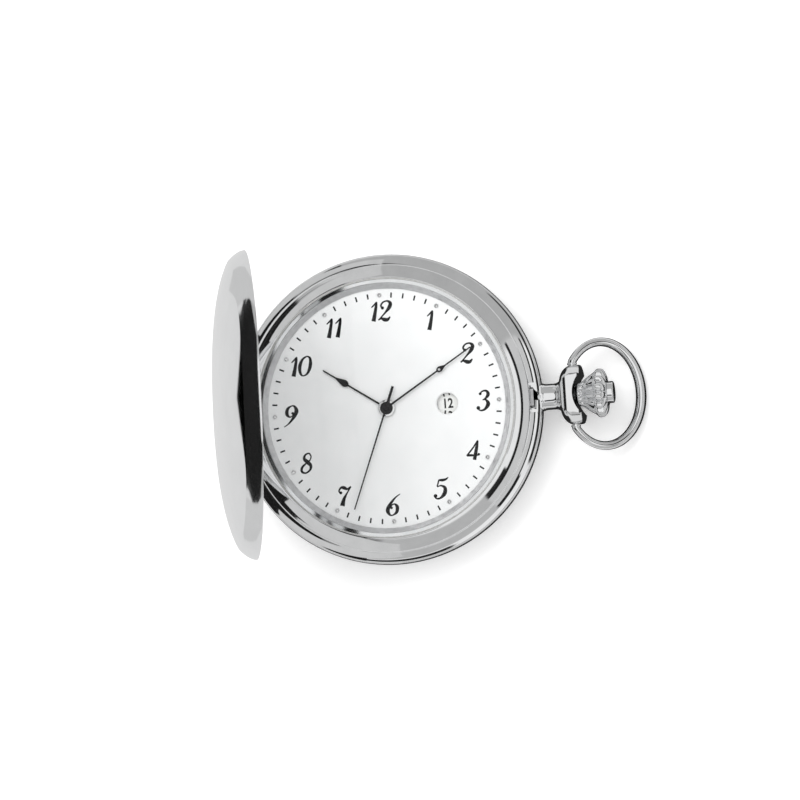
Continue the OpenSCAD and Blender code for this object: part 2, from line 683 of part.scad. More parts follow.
module main_plate() {
    color("goldenrod") difference() {
        union() {
            rotate_extrude($fn = 144) polygon([[0.95, plate_z], [plate_r, plate_z],
                [plate_r, dial_under - fit], [plate_r - 1.3, dial_under - fit], [plate_r - 1.3, ledge_z],
                [date_ring_r - 0.41, ledge_z], [date_ring_r - 0.56, floor_z], [0.95, floor_z]]);
            for (p = screw_ps) at(p, bridge_z + bridge_t + fit)
                cylinder(r = 0.7, h = plate_z - bridge_z - bridge_t, $fn = 32);
            for (p = cell_posts) at(p, cell_z - 0.1) cylinder(r = 0.6, h = plate_z - cell_z + 0.2, $fn = 32);
            at(minute_p, floor_z - 0.1) cylinder(r = 0.25, h = 0.9, $fn = 24);
            at(setting_p, floor_z - 0.1) cylinder(r = 0.25, h = 0.6, $fn = 24);
            at(date_p, floor_z - 0.1) cylinder(r = 0.3, h = 1.1, $fn = 24);
        }
        // Channel of the stem and the clutch, and the pockets of the wheels near the edge
        translate([clutch_x - 1.5, -1.3, plate_z - 1]) cube([3.5, 2.6, 1.8]);
        along_x(clutch_x) cylinder(r = stem_r + 0.15, h = 8);
        at(setting_p, floor_z) difference() {
            cylinder(r = 1.55, h = 3);
            translate([0, 0, -1]) cylinder(r = 0.25, h = 1.5, $fn = 24);
        }
        at(date_p, floor_z) difference() {
            cylinder(r = module_of(date_d, hour_pinion_n, date_n) * (date_n / 2 + 0.8) + 0.2, h = 3);
            translate([0, 0, -1]) cylinder(r = 0.3, h = 2, $fn = 24);
        }
        for (p = screw_ps) at(p, bridge_z) cylinder(r = 0.34, h = 2, $fn = 24);
        for (p = cell_posts) at(p, cell_z - 1) cylinder(r = 0.34, h = 2.6, $fn = 24);
        for (a = [80, 255]) at(polar(plate_r - 0.65, a), dial_under - 1.3) cylinder(r = 0.38, h = 3, $fn = 24);
    }
}

module train_bridge() {
    color("gold") translate([0, 0, bridge_z]) linear_extrude(bridge_t) difference() {
        union() {
            for (p = screw_ps) bar_2d([0, 0], p, 1.6);
            bar_2d([0, 0], third_p, 1.8);
            bar_2d([0, 0], inter_p, 2);
            bar_2d(inter_p, rotor_p, 2);
        }
        for (p = screw_ps) translate(p) circle(r = 0.36, $fn = 24);
        for (p = [[0, 0], third_p, inter_p, rotor_p]) translate(p) circle(r = 0.2, $fn = 24);
    }
}

module bridge_screws() {
    color("steelblue") {
        for (p = screw_ps) screw(p, bridge_z - fit, 0.65, 0.3, 0.3, 1.7);
        for (p = cell_posts) screw(p, cell_z - 0.37, 0.65, 0.3, 0.3, 1.7);
    }
}

module button_cell() {
    color("silver") at(cell_p, cell_z) {
        cylinder(r = cell_d / 2 - 0.5, h = 0.25);
        translate([0, 0, 0.2]) cylinder(r = cell_d / 2, h = cell_h - 0.2);
    }
}

module cell_strap() {
    color("gold") translate([0, 0, cell_z - 0.35]) linear_extrude(0.23) difference() {
        bar_2d(cell_posts[0], cell_posts[1], 1.7);
        for (p = cell_posts) translate(p) circle(r = 0.36, $fn = 24);
    }
}

module circuit_board() {
    color("seagreen") translate([0, 0, board_z]) difference() {
        rotate(-80) rotate_extrude(angle = 65, $fn = 96) translate([plate_r - 7.7, 0]) square([7.2, 0.35]);
        for (p = screw_ps) at(p, -1) cylinder(r = 0.8, h = 3, $fn = 32);
    }
}

module quartz_can() {
    c = polar(plate_r - 3.7, -58);
    color("silver") at(c, board_z - 0.82) rotate(32) rotate([0, 90, 0]) translate([0, 0, -3])
        cylinder(r = 0.8, h = 6, $fn = 36);
}

module time_chip() {
    color("dimgray") at(polar(plate_r - 3.4, -25), board_z - 0.62) translate([-1.1, -1.1, 0]) cube([2.2, 2.2, 0.6]);
}

module coil() {
    color("peru") translate([coil_mid - coil_l / 2, coil_y, coil_z]) rotate([0, 90, 0])
        ring(coil_r, 0.4, coil_l);
}

module coil_core() {
    color("lightslategray") {
        translate([coil_mid - coil_l / 2 - lug_w / 2, coil_y, coil_z]) rotate([0, 90, 0])
            cylinder(r = 0.36, h = coil_l + lug_w, $fn = 32);
        for (s = [-1, 1]) translate([coil_mid + s * (coil_l + lug_w + 0.2) / 2 - lug_w / 2,
            coil_y - 0.75, coil_z - 0.6]) cube([lug_w, 1.5, stator_z - coil_z + 0.58]);
    }
}

module stator() {
    a = [coil_mid - (coil_l + lug_w + 0.2) / 2, coil_y];
    b = [coil_mid + (coil_l + lug_w + 0.2) / 2, coil_y];
    l = rotor_p + [-2.6, 0];
    r = rotor_p + [2.6, 0];
    color("lightslategray") translate([0, 0, stator_z]) linear_extrude(0.35) difference() {
        union() {
            bar_2d(a, l, lug_w);
            bar_2d(l, r, 2.6);
            bar_2d(r, b, lug_w);
        }
        translate(rotor_p) circle(r = 0.95, $fn = 48);
    }
}

module rotor() {
    m = module_of(rotor_d, rotor_n, inter_n);
    z0 = inter_z - 0.15;
    color("darkslategray") at(rotor_p) {
        wheel(rotor_n, m, z0, 0.5, rotor_turn);
        arbor(bridge_z + bridge_t + fit, plate_z - fit, 0.18);
        translate([0, 0, stator_z]) cylinder(r = 0.75, h = 0.4);
    }
}

// Angles of the wheels, meshed one after another from the seconds wheel
seconds_turn = 90 - seconds_angle;
centre_turn = 90 - minute_angle;
third_turn = meshed(seconds_turn, seconds_pinion_n, third_n, third_dir);
third_pinion_turn = meshed(centre_turn, centre_n, third_pinion_n, third_dir);
inter_pinion_turn = meshed(seconds_turn, seconds_n, inter_pinion_n, inter_dir);
inter_turn = inter_pinion_turn;
rotor_turn = meshed(inter_turn, inter_n, rotor_n, rotor_dir);
minute_turn = meshed(centre_turn, cannon_n, minute_n, minute_dir);
minute_pinion_turn = minute_turn;
hour_turn = meshed(minute_pinion_turn, minute_pinion_n, hour_n, minute_dir + 180);
setting_turn = meshed(minute_turn, minute_n, setting_n, setting_dir);
date_turn = meshed(hour_turn, hour_pinion_n, date_n, date_dir);

module intermediate_wheel() {
    color("gold") at(inter_p) {
        crossed_wheel(inter_n, module_of(rotor_d, rotor_n, inter_n), inter_z, wheel_t, inter_turn, 0.6);
        wheel(inter_pinion_n, module_of(inter_d, inter_pinion_n, seconds_n), inter_z + 0.45, 0.4,
            inter_pinion_turn);
        arbor(bridge_z + bridge_t + fit, plate_z - fit, 0.2);
    }
}

module seconds_wheel() {
    color("gold") {
        crossed_wheel(seconds_n, module_of(inter_d, inter_pinion_n, seconds_n), seconds_z, wheel_t,
            seconds_turn, 0.6);
        wheel(seconds_pinion_n, module_of(third_d, seconds_pinion_n, third_n), seconds_z + wheel_t - 0.02,
            0.3, seconds_turn);
        arbor(bridge_z + bridge_t + fit, seconds_hand_z - fit, 0.22);
    }
}

module third_wheel() {
    color("gold") at(third_p) {
        crossed_wheel(third_n, module_of(third_d, seconds_pinion_n, third_n), third_z, wheel_t, third_turn, 0.6);
        wheel(third_pinion_n, module_of(third_d, third_pinion_n, centre_n), third_z + wheel_t - 0.02, 0.34,
            third_pinion_turn);
        arbor(bridge_z + bridge_t + fit, plate_z - fit, 0.2);
    }
}

module centre_wheel() {
    color("gold") difference() {
        union() {
            crossed_wheel(centre_n, module_of(third_d, third_pinion_n, centre_n), centre_z, wheel_t,
                centre_turn, 0.75);
            wheel(cannon_n, module_of(minute_d, cannon_n, minute_n), floor_z + 0.05, 0.3, centre_turn);
            arbor(centre_z, minute_hand_z - fit, 0.5);
        }
        arbor(centre_z - 1, minute_hand_z + 1, 0.22 + run);
    }
}

module minute_wheel() {
    color("gold") at(minute_p) difference() {
        union() {
            wheel(minute_n, module_of(minute_d, cannon_n, minute_n), minute_z, wheel_t, minute_turn);
            wheel(minute_pinion_n, module_of(minute_d, minute_pinion_n, hour_n), minute_z + wheel_t - 0.02,
                0.4, minute_pinion_turn);
        }
        arbor(floor_z - 1, floor_z + 3, 0.25 + run);
    }
}

module hour_wheel() {
    color("gold") difference() {
        union() {
            wheel(hour_n, module_of(minute_d, minute_pinion_n, hour_n), hour_z, wheel_t, hour_turn);
            wheel(hour_pinion_n, module_of(date_d, hour_pinion_n, date_n), date_pinion_z - 0.06, 0.21, hour_turn);
            arbor(hour_z, hour_hand_z - fit, 0.85);
        }
        arbor(hour_z - 1, hour_hand_z + 1, 0.5 + run);
    }
}

module date_wheel() {
    color("gold") at(date_p) difference() {
        union() {
            wheel(date_n, module_of(date_d, hour_pinion_n, date_n), date_pinion_z, 0.15, date_turn);
            // Finger that pushes the disc on by one tooth a night
            translate([0, 0, disc_top - disc_t - 0.08]) linear_extrude(0.26)
                bar_2d([0, 0], polar(date_finger_r - 0.2, date_dir + 150), 0.4);
            translate([0, 0, date_pinion_z]) cylinder(r = 0.7, h = 0.38, $fn = 32);
        }
        arbor(floor_z - 1, floor_z + 3, 0.3 + run);
    }
}

module date_disc() {
    step = 360 / days;
    color("white") translate([0, 0, disc_top - disc_t]) linear_extrude(disc_t) difference() {
        circle(r = date_ring_out, $fn = 144);
        polygon([for (i = [0:days - 1], k = [[-0.34, 0], [-0.1, -0.42], [0.1, -0.42], [0.34, 0]])
            polar(date_ring_r + k[1], (i + k[0]) * step)]);
    }
}

module date_plate() {
    color("gainsboro") translate([0, 0, date_plate_z]) difference() {
        cylinder(r = date_ring_r + 0.35, h = 0.25, $fn = 96);
        translate([0, 0, -1]) cylinder(r = 1.1, h = 3);
    }
}

module date_jumper() {
    step = 360 / days;
    color("lightsteelblue") translate([0, 0, disc_top - disc_t]) linear_extrude(disc_t) {
        bar_2d(polar(5.6, -8.5 * step), polar(5.9, -11.4 * step), 0.3);
        // The nose stands lifted, clear of the teeth's tips, as it does while the disc is pushed on
        bar_2d(polar(5.9, -11.4 * step), polar(date_ring_r - 0.63, -11.5 * step), 0.34);
        translate(polar(5.6, -8.5 * step)) circle(r = 0.5, $fn = 32);
    }
}

module clutch_wheel() {
    // A collar with the yoke's groove, and end teeth that reach the setting wheel's height
    color("silver") difference() {
        union() {
            tube_x(clutch_x, clutch_x + 1.65, clutch_r, stem_r + run);
            along_x(clutch_x) linear_extrude(0.22) difference() {
                wheel_2d(18, 2.2 / 18);
                circle(r = stem_r + run);
            }
        }
        along_x(clutch_x + 0.25) ring(2, stem_r + 0.15, 0.45 + push_travel);
    }
}

module setting_wheel() {
    color("gold") at(setting_p) wheel(setting_n, module_of(setting_d, minute_n, setting_n), minute_z, wheel_t,
        setting_turn, 0.25 + run);
}

module setting_lever() {
    color("lightsteelblue") {
        translate([0, 0, axis_z - 1.1]) linear_extrude(0.3) {
            bar_2d(lever_p, [groove_x, 0], 0.9);
            bar_2d(lever_p, lever_p + [-1.1, 1.5], 0.9);
        }
        at([groove_x, 0], axis_z - 0.85) cylinder(r = 0.22, h = 0.42, $fn = 24);
        at(lever_p, axis_z - 1.1) cylinder(r = 0.3, h = plate_z - axis_z + 1.08, $fn = 24);
    }
}

module yoke() {
    tip = [clutch_x + 0.48, 0];
    color("lightsteelblue") {
        translate([0, 0, axis_z - 1.55]) linear_extrude(0.3) {
            bar_2d(yoke_p, tip, 0.8);
            bar_2d(yoke_p, yoke_p + [-1.8, 0.6], 0.6);
        }
        at(tip, axis_z - 1.3) cylinder(r = 0.2, h = 0.5, $fn = 24);
        at(yoke_p, axis_z - 1.55) cylinder(r = 0.3, h = plate_z - axis_z + 1.53, $fn = 24);
    }
}

// A hand along +X: a slim blade with a drop-shaped ornament, its round end towards the hub
module hand_2d(l, at_x, drop_in, drop_out, drop_w, base_w, tip_w, eye) {
    upper = concat([for (i = [0:9]) let (a = 10 * i) [at_x - drop_in * cos(a), drop_w / 2 * sin(a)]],
        [for (i = [0:8]) let (t = i / 8) [at_x + drop_out * t, drop_w / 2 * pow(1 - t, 0.9)]]);
    difference() {
        union() {
            polygon([[0, -base_w / 2], [l - 0.1, -tip_w / 2], [l, -tip_w / 4], [l, tip_w / 4],
                [l - 0.1, tip_w / 2], [0, base_w / 2]]);
            polygon(concat(upper, [for (i = [len(upper) - 2:-1:1]) [upper[i][0], -upper[i][1]]]));
        }
        if (eye > 0) translate([at_x - drop_in * 0.25, 0]) circle(r = eye, $fn = 24);
    }
}

module hour_hand() {
    color("black") translate([0, 0, hour_hand_z]) rotate(90 - hour_angle) difference() {
        union() {
            linear_extrude(hand_t + 0.02) hand_2d(hour_l, 7.75, 0.75, 1.8, 1.08, 0.3, 0.22, 0);
            cylinder(r1 = 1.3, r2 = 1.18, h = hand_t + 0.05);
        }
        translate([0, 0, -1]) cylinder(r = 0.5 + run, h = 3, $fn = 24);
    }
}

module minute_hand() {
    color("black") translate([0, 0, minute_hand_z]) rotate(90 - minute_angle) difference() {
        union() {
            linear_extrude(hand_t) hand_2d(minute_l, 10.3, 0.65, 1.1, 0.9, 0.3, 0.2, 0.2);
            cylinder(r1 = 0.95, r2 = 0.86, h = hand_t + 0.05);
        }
        translate([0, 0, -1]) cylinder(r = 0.22 + run, h = 3, $fn = 24);
    }
}

module seconds_hand() {
    color("black") translate([0, 0, seconds_hand_z]) rotate(90 - seconds_angle) {
        linear_extrude(hand_t - 0.02) {
            polygon([[-3.5, -0.2], [-1, -0.2], [0.5, -0.13], [seconds_l - 0.1, -0.09], [seconds_l, 0],
                [seconds_l - 0.1, 0.09], [0.5, 0.13], [-1, 0.2], [-3.5, 0.2]]);
            circle(r = 0.8, $fn = 48);
        }
        cylinder(r1 = 0.5, r2 = 0.36, h = hand_t + 0.1, $fn = 36);
    }
}

middle_case();
bezel();
crystal();
crystal_gasket();
dial_ring();
dial();
hour_studs();
back_cover();
back_gasket();
case_knuckles();
hinge_pin();
lid();
lid_knuckle();
lid_catch_lug();
lift_spring();
lock_spring();
spring_screws();
pendant_neck();
pendant_collar();
bow();
release_bush();
stem_sleeve();
crown();
crown_cap();
stem();
movement_ring();
ring_screws();
main_plate();
train_bridge();
bridge_screws();
button_cell();
cell_strap();
circuit_board();
quartz_can();
time_chip();
coil();
coil_core();
stator();
rotor();
intermediate_wheel();
seconds_wheel();
third_wheel();
centre_wheel();
minute_wheel();
hour_wheel();
date_wheel();
date_disc();
date_plate();
date_jumper();
clutch_wheel();
setting_wheel();
setting_lever();
yoke();
hour_hand();
minute_hand();
seconds_hand();
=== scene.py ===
"""Full hunter pocket watch on its back, lid open, dressed for the photograph's view.

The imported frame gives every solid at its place. This script adds the printing on the dial, the
figures of the date disc and the finely rounded outer shapes, gives every piece a finish, and sets
the camera, the studio light and the floor. Lengths in the classes are millimetres.
"""

import logging
import math
from dataclasses import dataclass, field
from enum import Enum
from typing import Callable, Dict, Iterable, List, Optional, Sequence, Tuple

import bmesh
import bpy
from mathutils import Matrix, Vector

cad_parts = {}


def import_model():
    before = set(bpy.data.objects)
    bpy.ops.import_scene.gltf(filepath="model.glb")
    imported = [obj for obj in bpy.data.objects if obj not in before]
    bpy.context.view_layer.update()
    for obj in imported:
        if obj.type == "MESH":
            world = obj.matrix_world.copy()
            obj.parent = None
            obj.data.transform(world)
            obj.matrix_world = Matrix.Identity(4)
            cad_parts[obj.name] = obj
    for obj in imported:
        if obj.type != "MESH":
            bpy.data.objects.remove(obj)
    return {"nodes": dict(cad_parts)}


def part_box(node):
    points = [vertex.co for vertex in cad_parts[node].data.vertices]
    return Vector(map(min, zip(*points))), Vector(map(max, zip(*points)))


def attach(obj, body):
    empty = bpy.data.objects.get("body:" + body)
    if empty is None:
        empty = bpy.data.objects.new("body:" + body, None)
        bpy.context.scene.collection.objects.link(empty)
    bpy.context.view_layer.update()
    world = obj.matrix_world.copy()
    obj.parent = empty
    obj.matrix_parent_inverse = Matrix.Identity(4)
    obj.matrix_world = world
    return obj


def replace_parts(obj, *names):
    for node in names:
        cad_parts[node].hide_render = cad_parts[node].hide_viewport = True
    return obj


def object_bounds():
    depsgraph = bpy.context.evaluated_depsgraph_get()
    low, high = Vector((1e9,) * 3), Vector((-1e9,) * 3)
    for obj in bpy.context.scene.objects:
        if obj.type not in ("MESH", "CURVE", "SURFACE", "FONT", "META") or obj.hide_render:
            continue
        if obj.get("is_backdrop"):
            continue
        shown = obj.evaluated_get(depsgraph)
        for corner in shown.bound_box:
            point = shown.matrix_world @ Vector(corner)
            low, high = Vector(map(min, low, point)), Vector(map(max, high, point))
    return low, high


log = logging.getLogger("watch")

MM = 0.001
Point2 = Tuple[float, float]
Point3 = Tuple[float, float, float]
Stroke = Sequence[Point3]
Mesh = bpy.types.Mesh
Material = bpy.types.Material
Socket = bpy.types.NodeSocket

# Brightness of the surroundings for everything that is not polished metal.
SKY = 0.95
# Radius of the bore through the band, the neck and the collar.
PENDANT_BORE = 1.39
# Play between a shape and the pocket cut for it.
PLAY = 0.02
# Noise values between which a finish goes from its first colour to its second.
NOISE_TO_COLOUR = (0.35, 0.7)
# Noise values between which it goes from its smallest roughness to its largest.
NOISE_TO_ROUGHNESS = (0.3, 0.75)
# Factor that keeps a cosine inside the range of the arccosine.
BELOW_ONE = 0.99999


def polar(radius: float, degrees: float) -> Point2:
    """Returns the point at a radius and an angle from +X."""
    angle = math.radians(degrees)
    return (radius * math.cos(angle), radius * math.sin(angle))


def shift(x: float, y: float, z: float) -> Matrix:
    """Returns a move along the three axes."""
    return Matrix.Translation((x, y, z))


def rotation(degrees: float, axis: str) -> Matrix:
    """Returns a turn round an axis through the origin."""
    return Matrix.Rotation(math.radians(degrees), 4, axis)


def shares(count: int) -> List[float]:
    """Returns the numbers from 0 to 1 in equal steps."""
    return [i / count for i in range(count + 1)]


def smoothed(points: Stroke, steps: int) -> List[Point3]:
    """Runs a smooth curve through a stroke's points.

    Args:
        points: x, y and width at each point.
        steps: pieces between two points.

    Returns:
        The points of the curve, with their widths.
    """
    last = len(points) - 1
    out = []
    for i in range(last):
        p0, p1 = points[max(i - 1, 0)], points[i]
        p2, p3 = points[i + 1], points[min(i + 2, last)]
        for k in range(steps):
            t = k / steps
            row = []
            for a, b, c, d in zip(p0, p1, p2, p3):
                row.append(0.5 * (2 * b + (c - a) * t + (2 * a - 5 * b + 4 * c - d) * t * t
                                  + (3 * b - a - 3 * c + d) * t ** 3))
            out.append(tuple(row))
    out.append(tuple(points[last]))
    return out


def smoothed_2d(points: Sequence[Point2], steps: int) -> List[Point2]:
    """Returns a smooth curve through points in a plane."""
    return [(x, y) for x, y, _ in smoothed([(x, y, 0.0) for x, y in points], steps)]


def filleted(corners: Stroke, steps: int = 5) -> List[Point2]:
    """Rounds the corners of a closed outline.

    Args:
        corners: x, y and rounding radius of each corner.
        steps: pieces of each rounding.

    Returns:
        The outline's points.
    """
    out: List[Point2] = []
    count = len(corners)
    for i, (x, y, radius) in enumerate(corners):
        here = Vector((x, y))
        back = Vector(corners[i - 1][:2]) - here
        ahead = Vector(corners[(i + 1) % count][:2]) - here
        angle = back.angle(ahead) if radius > 0 else math.pi
        if angle > math.radians(178):  # as good as straight
            out.append((x, y))
            continue
        reach = min(radius / math.tan(angle / 2), 0.45 * back.length, 0.45 * ahead.length)
        start, end = here + back.normalized() * reach, here + ahead.normalized() * reach
        for k in range(steps + 1):
            t = k / steps
            point = start * (1 - t) ** 2 + here * (2 * t * (1 - t)) + end * t * t
            out.append((point.x, point.y))
    return out


def dome_curve(inner: float, outer: float, rise: float, power: float, steps: int) -> List[Point2]:
    """Returns a dome's section, from its crown at the inner radius out to its edge at height 0.

    Args:
        inner: radius of the flat at its crown.
        outer: radius of its edge.
        rise: its height.
        power: 2 for an ellipse, more for a squarer shoulder.
        steps: pieces of the curve.

    Returns:
        Points as radius and height.
    """
    out = []
    for share in shares(steps):
        angle = math.radians(90 - 90 * share)
        out.append((inner + (outer - inner) * max(math.cos(angle), 0.0) ** (2 / power),
                    rise * math.sin(angle) ** (2 / power)))
    return out


def as_mesh(shape: bmesh.types.BMesh, name: str = "shape") -> Mesh:
    """Turns a shape into a mesh and frees the shape.

    Args:
        shape: the shape.
        name: the mesh's name.

    Returns:
        The mesh.
    """
    mesh = bpy.data.meshes.new(name)
    shape.to_mesh(mesh)
    shape.free()
    return mesh


def added(name: str, data: bpy.types.ID) -> bpy.types.Object:
    """Adds an object with this data to the scene.

    Args:
        name: the object's name.
        data: its mesh, curve, lamp or camera.

    Returns:
        The object.
    """
    item = bpy.data.objects.new(name, data)
    bpy.context.scene.collection.objects.link(item)
    return item


def turned(section: Sequence[Point2], steps: int = 288, place: Optional[Matrix] = None) -> Mesh:
    """Turns a closed section round the Z axis.

    Args:
        section: radius and height of the section's points, in millimetres.
        steps: faces round the axis.
        place: where the turned solid goes, in millimetres.

    Returns:
        The mesh, in metres.
    """
    shape = bmesh.new()
    rings = []
    for radius, height in section:
        if radius < 1e-6:
            rings.append([shape.verts.new((0, 0, height))])
        else:
            rings.append([shape.verts.new((*polar(radius, 360 * j / steps), height)) for j in range(steps)])
    for i, ring in enumerate(rings):
        other = rings[(i + 1) % len(rings)]
        if len(ring) == 1 and len(other) == 1:
            continue
        for j in range(steps):
            k = (j + 1) % steps
            face = [ring[j % len(ring)], ring[k % len(ring)], other[k % len(other)], other[j % len(other)]]
            shape.faces.new(list(dict.fromkeys(face)))
    return finished(shape, place)


def lofted(rings: Sequence[Sequence[Point3]], place: Optional[Matrix] = None) -> Mesh:
    """Skins a row of rings of points, closed at both ends.

    Args:
        rings: the rings, with the same number of points in each.
        place: where the solid goes, in millimetres.

    Returns:
        The mesh, in metres.
    """
    shape = bmesh.new()
    rows = [[shape.verts.new(point) for point in ring] for ring in rings]
    for low, high in zip(rows, rows[1:]):
        for j in range(len(low)):
            k = (j + 1) % len(low)
            shape.faces.new((low[j], low[k], high[k], high[j]))
    for end in (rows[0], rows[-1]):
        shape.faces.new(end)
    return finished(shape, place)


def block(low: Point3, size: Point3, place: Optional[Matrix] = None) -> Mesh:
    """Returns a box between a low corner and its size, for cutting.

    Args:
        low: its lowest corner.
        size: its size along the three axes.
        place: where the box goes.

    Returns:
        The mesh, in metres.
    """
    shape = bmesh.new()
    bmesh.ops.create_cube(shape, size=1.0)
    for vert in shape.verts:
        vert.co = Vector(low[i] + (vert.co[i] + 0.5) * size[i] for i in range(3))
    return finished(shape, place)


def rod(radius: float, length: float, place: Optional[Matrix] = None, far: Optional[float] = None,
        steps: int = 96) -> Mesh:
    """Returns a rod or cone along Z from the origin."""
    return turned([(0, 0), (radius, 0), (radius if far is None else far, length), (0, length)], steps, place)


def finished(shape: bmesh.types.BMesh, place: Optional[Matrix]) -> Mesh:
    """Places a shape drawn in millimetres, turns its faces outwards and returns it in metres.

    Args:
        shape: the shape, which is freed.
        place: where it goes, in millimetres.

    Returns:
        The mesh, in metres.
    """
    if place is not None:
        bmesh.ops.transform(shape, matrix=place, verts=shape.verts)
    bmesh.ops.scale(shape, vec=(MM, MM, MM), verts=shape.verts)
    bmesh.ops.recalc_face_normals(shape, faces=shape.faces)
    return as_mesh(shape)


def carved(solid: Mesh, cutters: Sequence[Mesh], operation: str = "DIFFERENCE") -> Mesh:
    """Cuts shapes out of a solid, or keeps what lies in all of them.

    Args:
        solid: the mesh to cut.
        cutters: the cutting shapes.
        operation: DIFFERENCE or INTERSECT.

    Returns:
        The cut mesh.
    """
    work = added("solid", solid)
    tools = [added("cutter", cutter) for cutter in cutters]
    for tool in tools:
        step = work.modifiers.new("cut", "BOOLEAN")
        step.operation, step.solver, step.object = operation, "EXACT", tool
    bpy.context.view_layer.update()
    graph = bpy.context.evaluated_depsgraph_get()
    mesh = bpy.data.meshes.new_from_object(work.evaluated_get(graph))
    for item in [work, *tools]:
        bpy.data.objects.remove(item)
    return mesh


class NodeGraph:
    """Short way to add and link shader nodes in one tree."""

    def __init__(self, tree: bpy.types.NodeTree) -> None:
        """Empties the tree and keeps it.

        Args:
            tree: the node tree of a material or of the world.
        """
        self.tree = tree
        tree.nodes.clear()

    def add(self, kind: str, **values: object) -> bpy.types.Node:
        """Adds a node.

        Args:
            kind: the node's class name, without the ShaderNode at its start.
            **values: attributes of the node, or inputs by name with spaces as underscores.

        Returns:
            The new node.
        """
        node = self.tree.nodes.new("ShaderNode" + kind)
        for name, value in values.items():
            if hasattr(node, name):
                setattr(node, name, value)
            else:
                node.inputs[name.replace("_", " ")].default_value = value
        return node

    def link(self, source: Socket, target: Socket) -> None:
        """Joins two sockets."""
        self.tree.links.new(source, target)

    def math(self, operation: str, first: object, second: object = None, third: object = None) -> Socket:
        """Adds a math node on sockets or numbers.

        Args:
            operation: Blender's name for the operation.
            first: a socket or a number.
            second: a socket, a number or nothing.
            third: a socket, a number or nothing.

        Returns:
            The result's socket.
        """
        node = self.add("Math", operation=operation)
        for socket, value in zip(node.inputs, (first, second, third)):
            if isinstance(value, Socket):
                self.link(value, socket)
            elif value is not None:
                socket.default_value = value
        return node.outputs[0]

    def fade(self, value: Socket, low: float, high: float, start: float = 0.0,
             end: float = 1.0, kind: str = "SMOOTHSTEP") -> Socket:
        """Maps a value from one range to another.

        Args:
            value: the value's socket.
            low: value at which the result is start.
            high: value at which the result is end.
            start: first result.
            end: last result.
            kind: Blender's name for the interpolation.

        Returns:
            The result's socket.
        """
        node = self.add("MapRange", interpolation_type=kind)
        for name, number in (("From Min", low), ("From Max", high), ("To Min", start), ("To Max", end)):
            node.inputs[name].default_value = number
        self.link(value, node.inputs["Value"])
        return node.outputs["Result"]

    def glow(self, strength: Socket) -> Socket:
        """Returns a white light of the given strength.

        Args:
            strength: the strength's socket.

        Returns:
            The shader's socket.
        """
        node = self.add("Emission", Color=(1, 1, 1, 1))
        self.link(strength, node.inputs["Strength"])
        return node.outputs["Emission"]

    def mixed(self, share: Socket, first: Socket, second: Socket) -> Socket:
        """Mixes two shaders.

        Args:
            share: how much of the second shader shows.
            first: the first shader's socket.
            second: the second shader's socket.

        Returns:
            The mixed shader's socket.
        """
        node = self.add("MixShader")
        for socket, source in zip(node.inputs, (share, first, second)):
            self.link(source, socket)
        return node.outputs["Shader"]

    def end(self, shader: Socket, kind: str = "OutputMaterial") -> None:
        """Links the finished shader to the tree's output."""
        self.link(shader, self.add(kind).inputs["Surface"])

    def mirrored(self) -> Socket:
        """Returns 1 for what polished metal shows, and 0 for what lights the dull surfaces.

        Returns:
            The value's socket.
        """
        path = self.add("LightPath")
        dull = self.math("MINIMUM", path.outputs["Diffuse Depth"], 1.0)
        return self.math("MULTIPLY", path.outputs["Is Glossy Ray"], self.math("SUBTRACT", 1.0, dull))

    def ramp(self, source: Socket, low: float, high: float, start: Point3, end: Point3) -> Socket:
        """Turns a value into a colour between two colours.

        Args:
            source: the value's socket.
            low: value at which the colour is start.
            high: value at which the colour is end.
            start: first colour.
            end: second colour.

        Returns:
            The colour's socket.
        """
        node = self.add("ValToRGB")
        node.color_ramp.elements[0].position = low
        node.color_ramp.elements[1].position = high
        node.color_ramp.elements[0].color = (*start, 1)
        node.color_ramp.elements[1].color = (*end, 1)
        self.link(source, node.inputs["Fac"])
        return node.outputs["Color"]


def painted(name: str, paint: Callable[[NodeGraph], Socket]) -> Material:
    """Returns the material of this name, made the first time it is asked for.

    Args:
        name: the material's name.
        paint: draws the shader in a node tree and returns its socket.

    Returns:
        The material.
    """
    made = bpy.data.materials.get(name)
    if made is None:
        made = bpy.data.materials.new(name)
        made.use_nodes = True
        graph = NodeGraph(made.node_tree)
        graph.end(paint(graph))
    return made


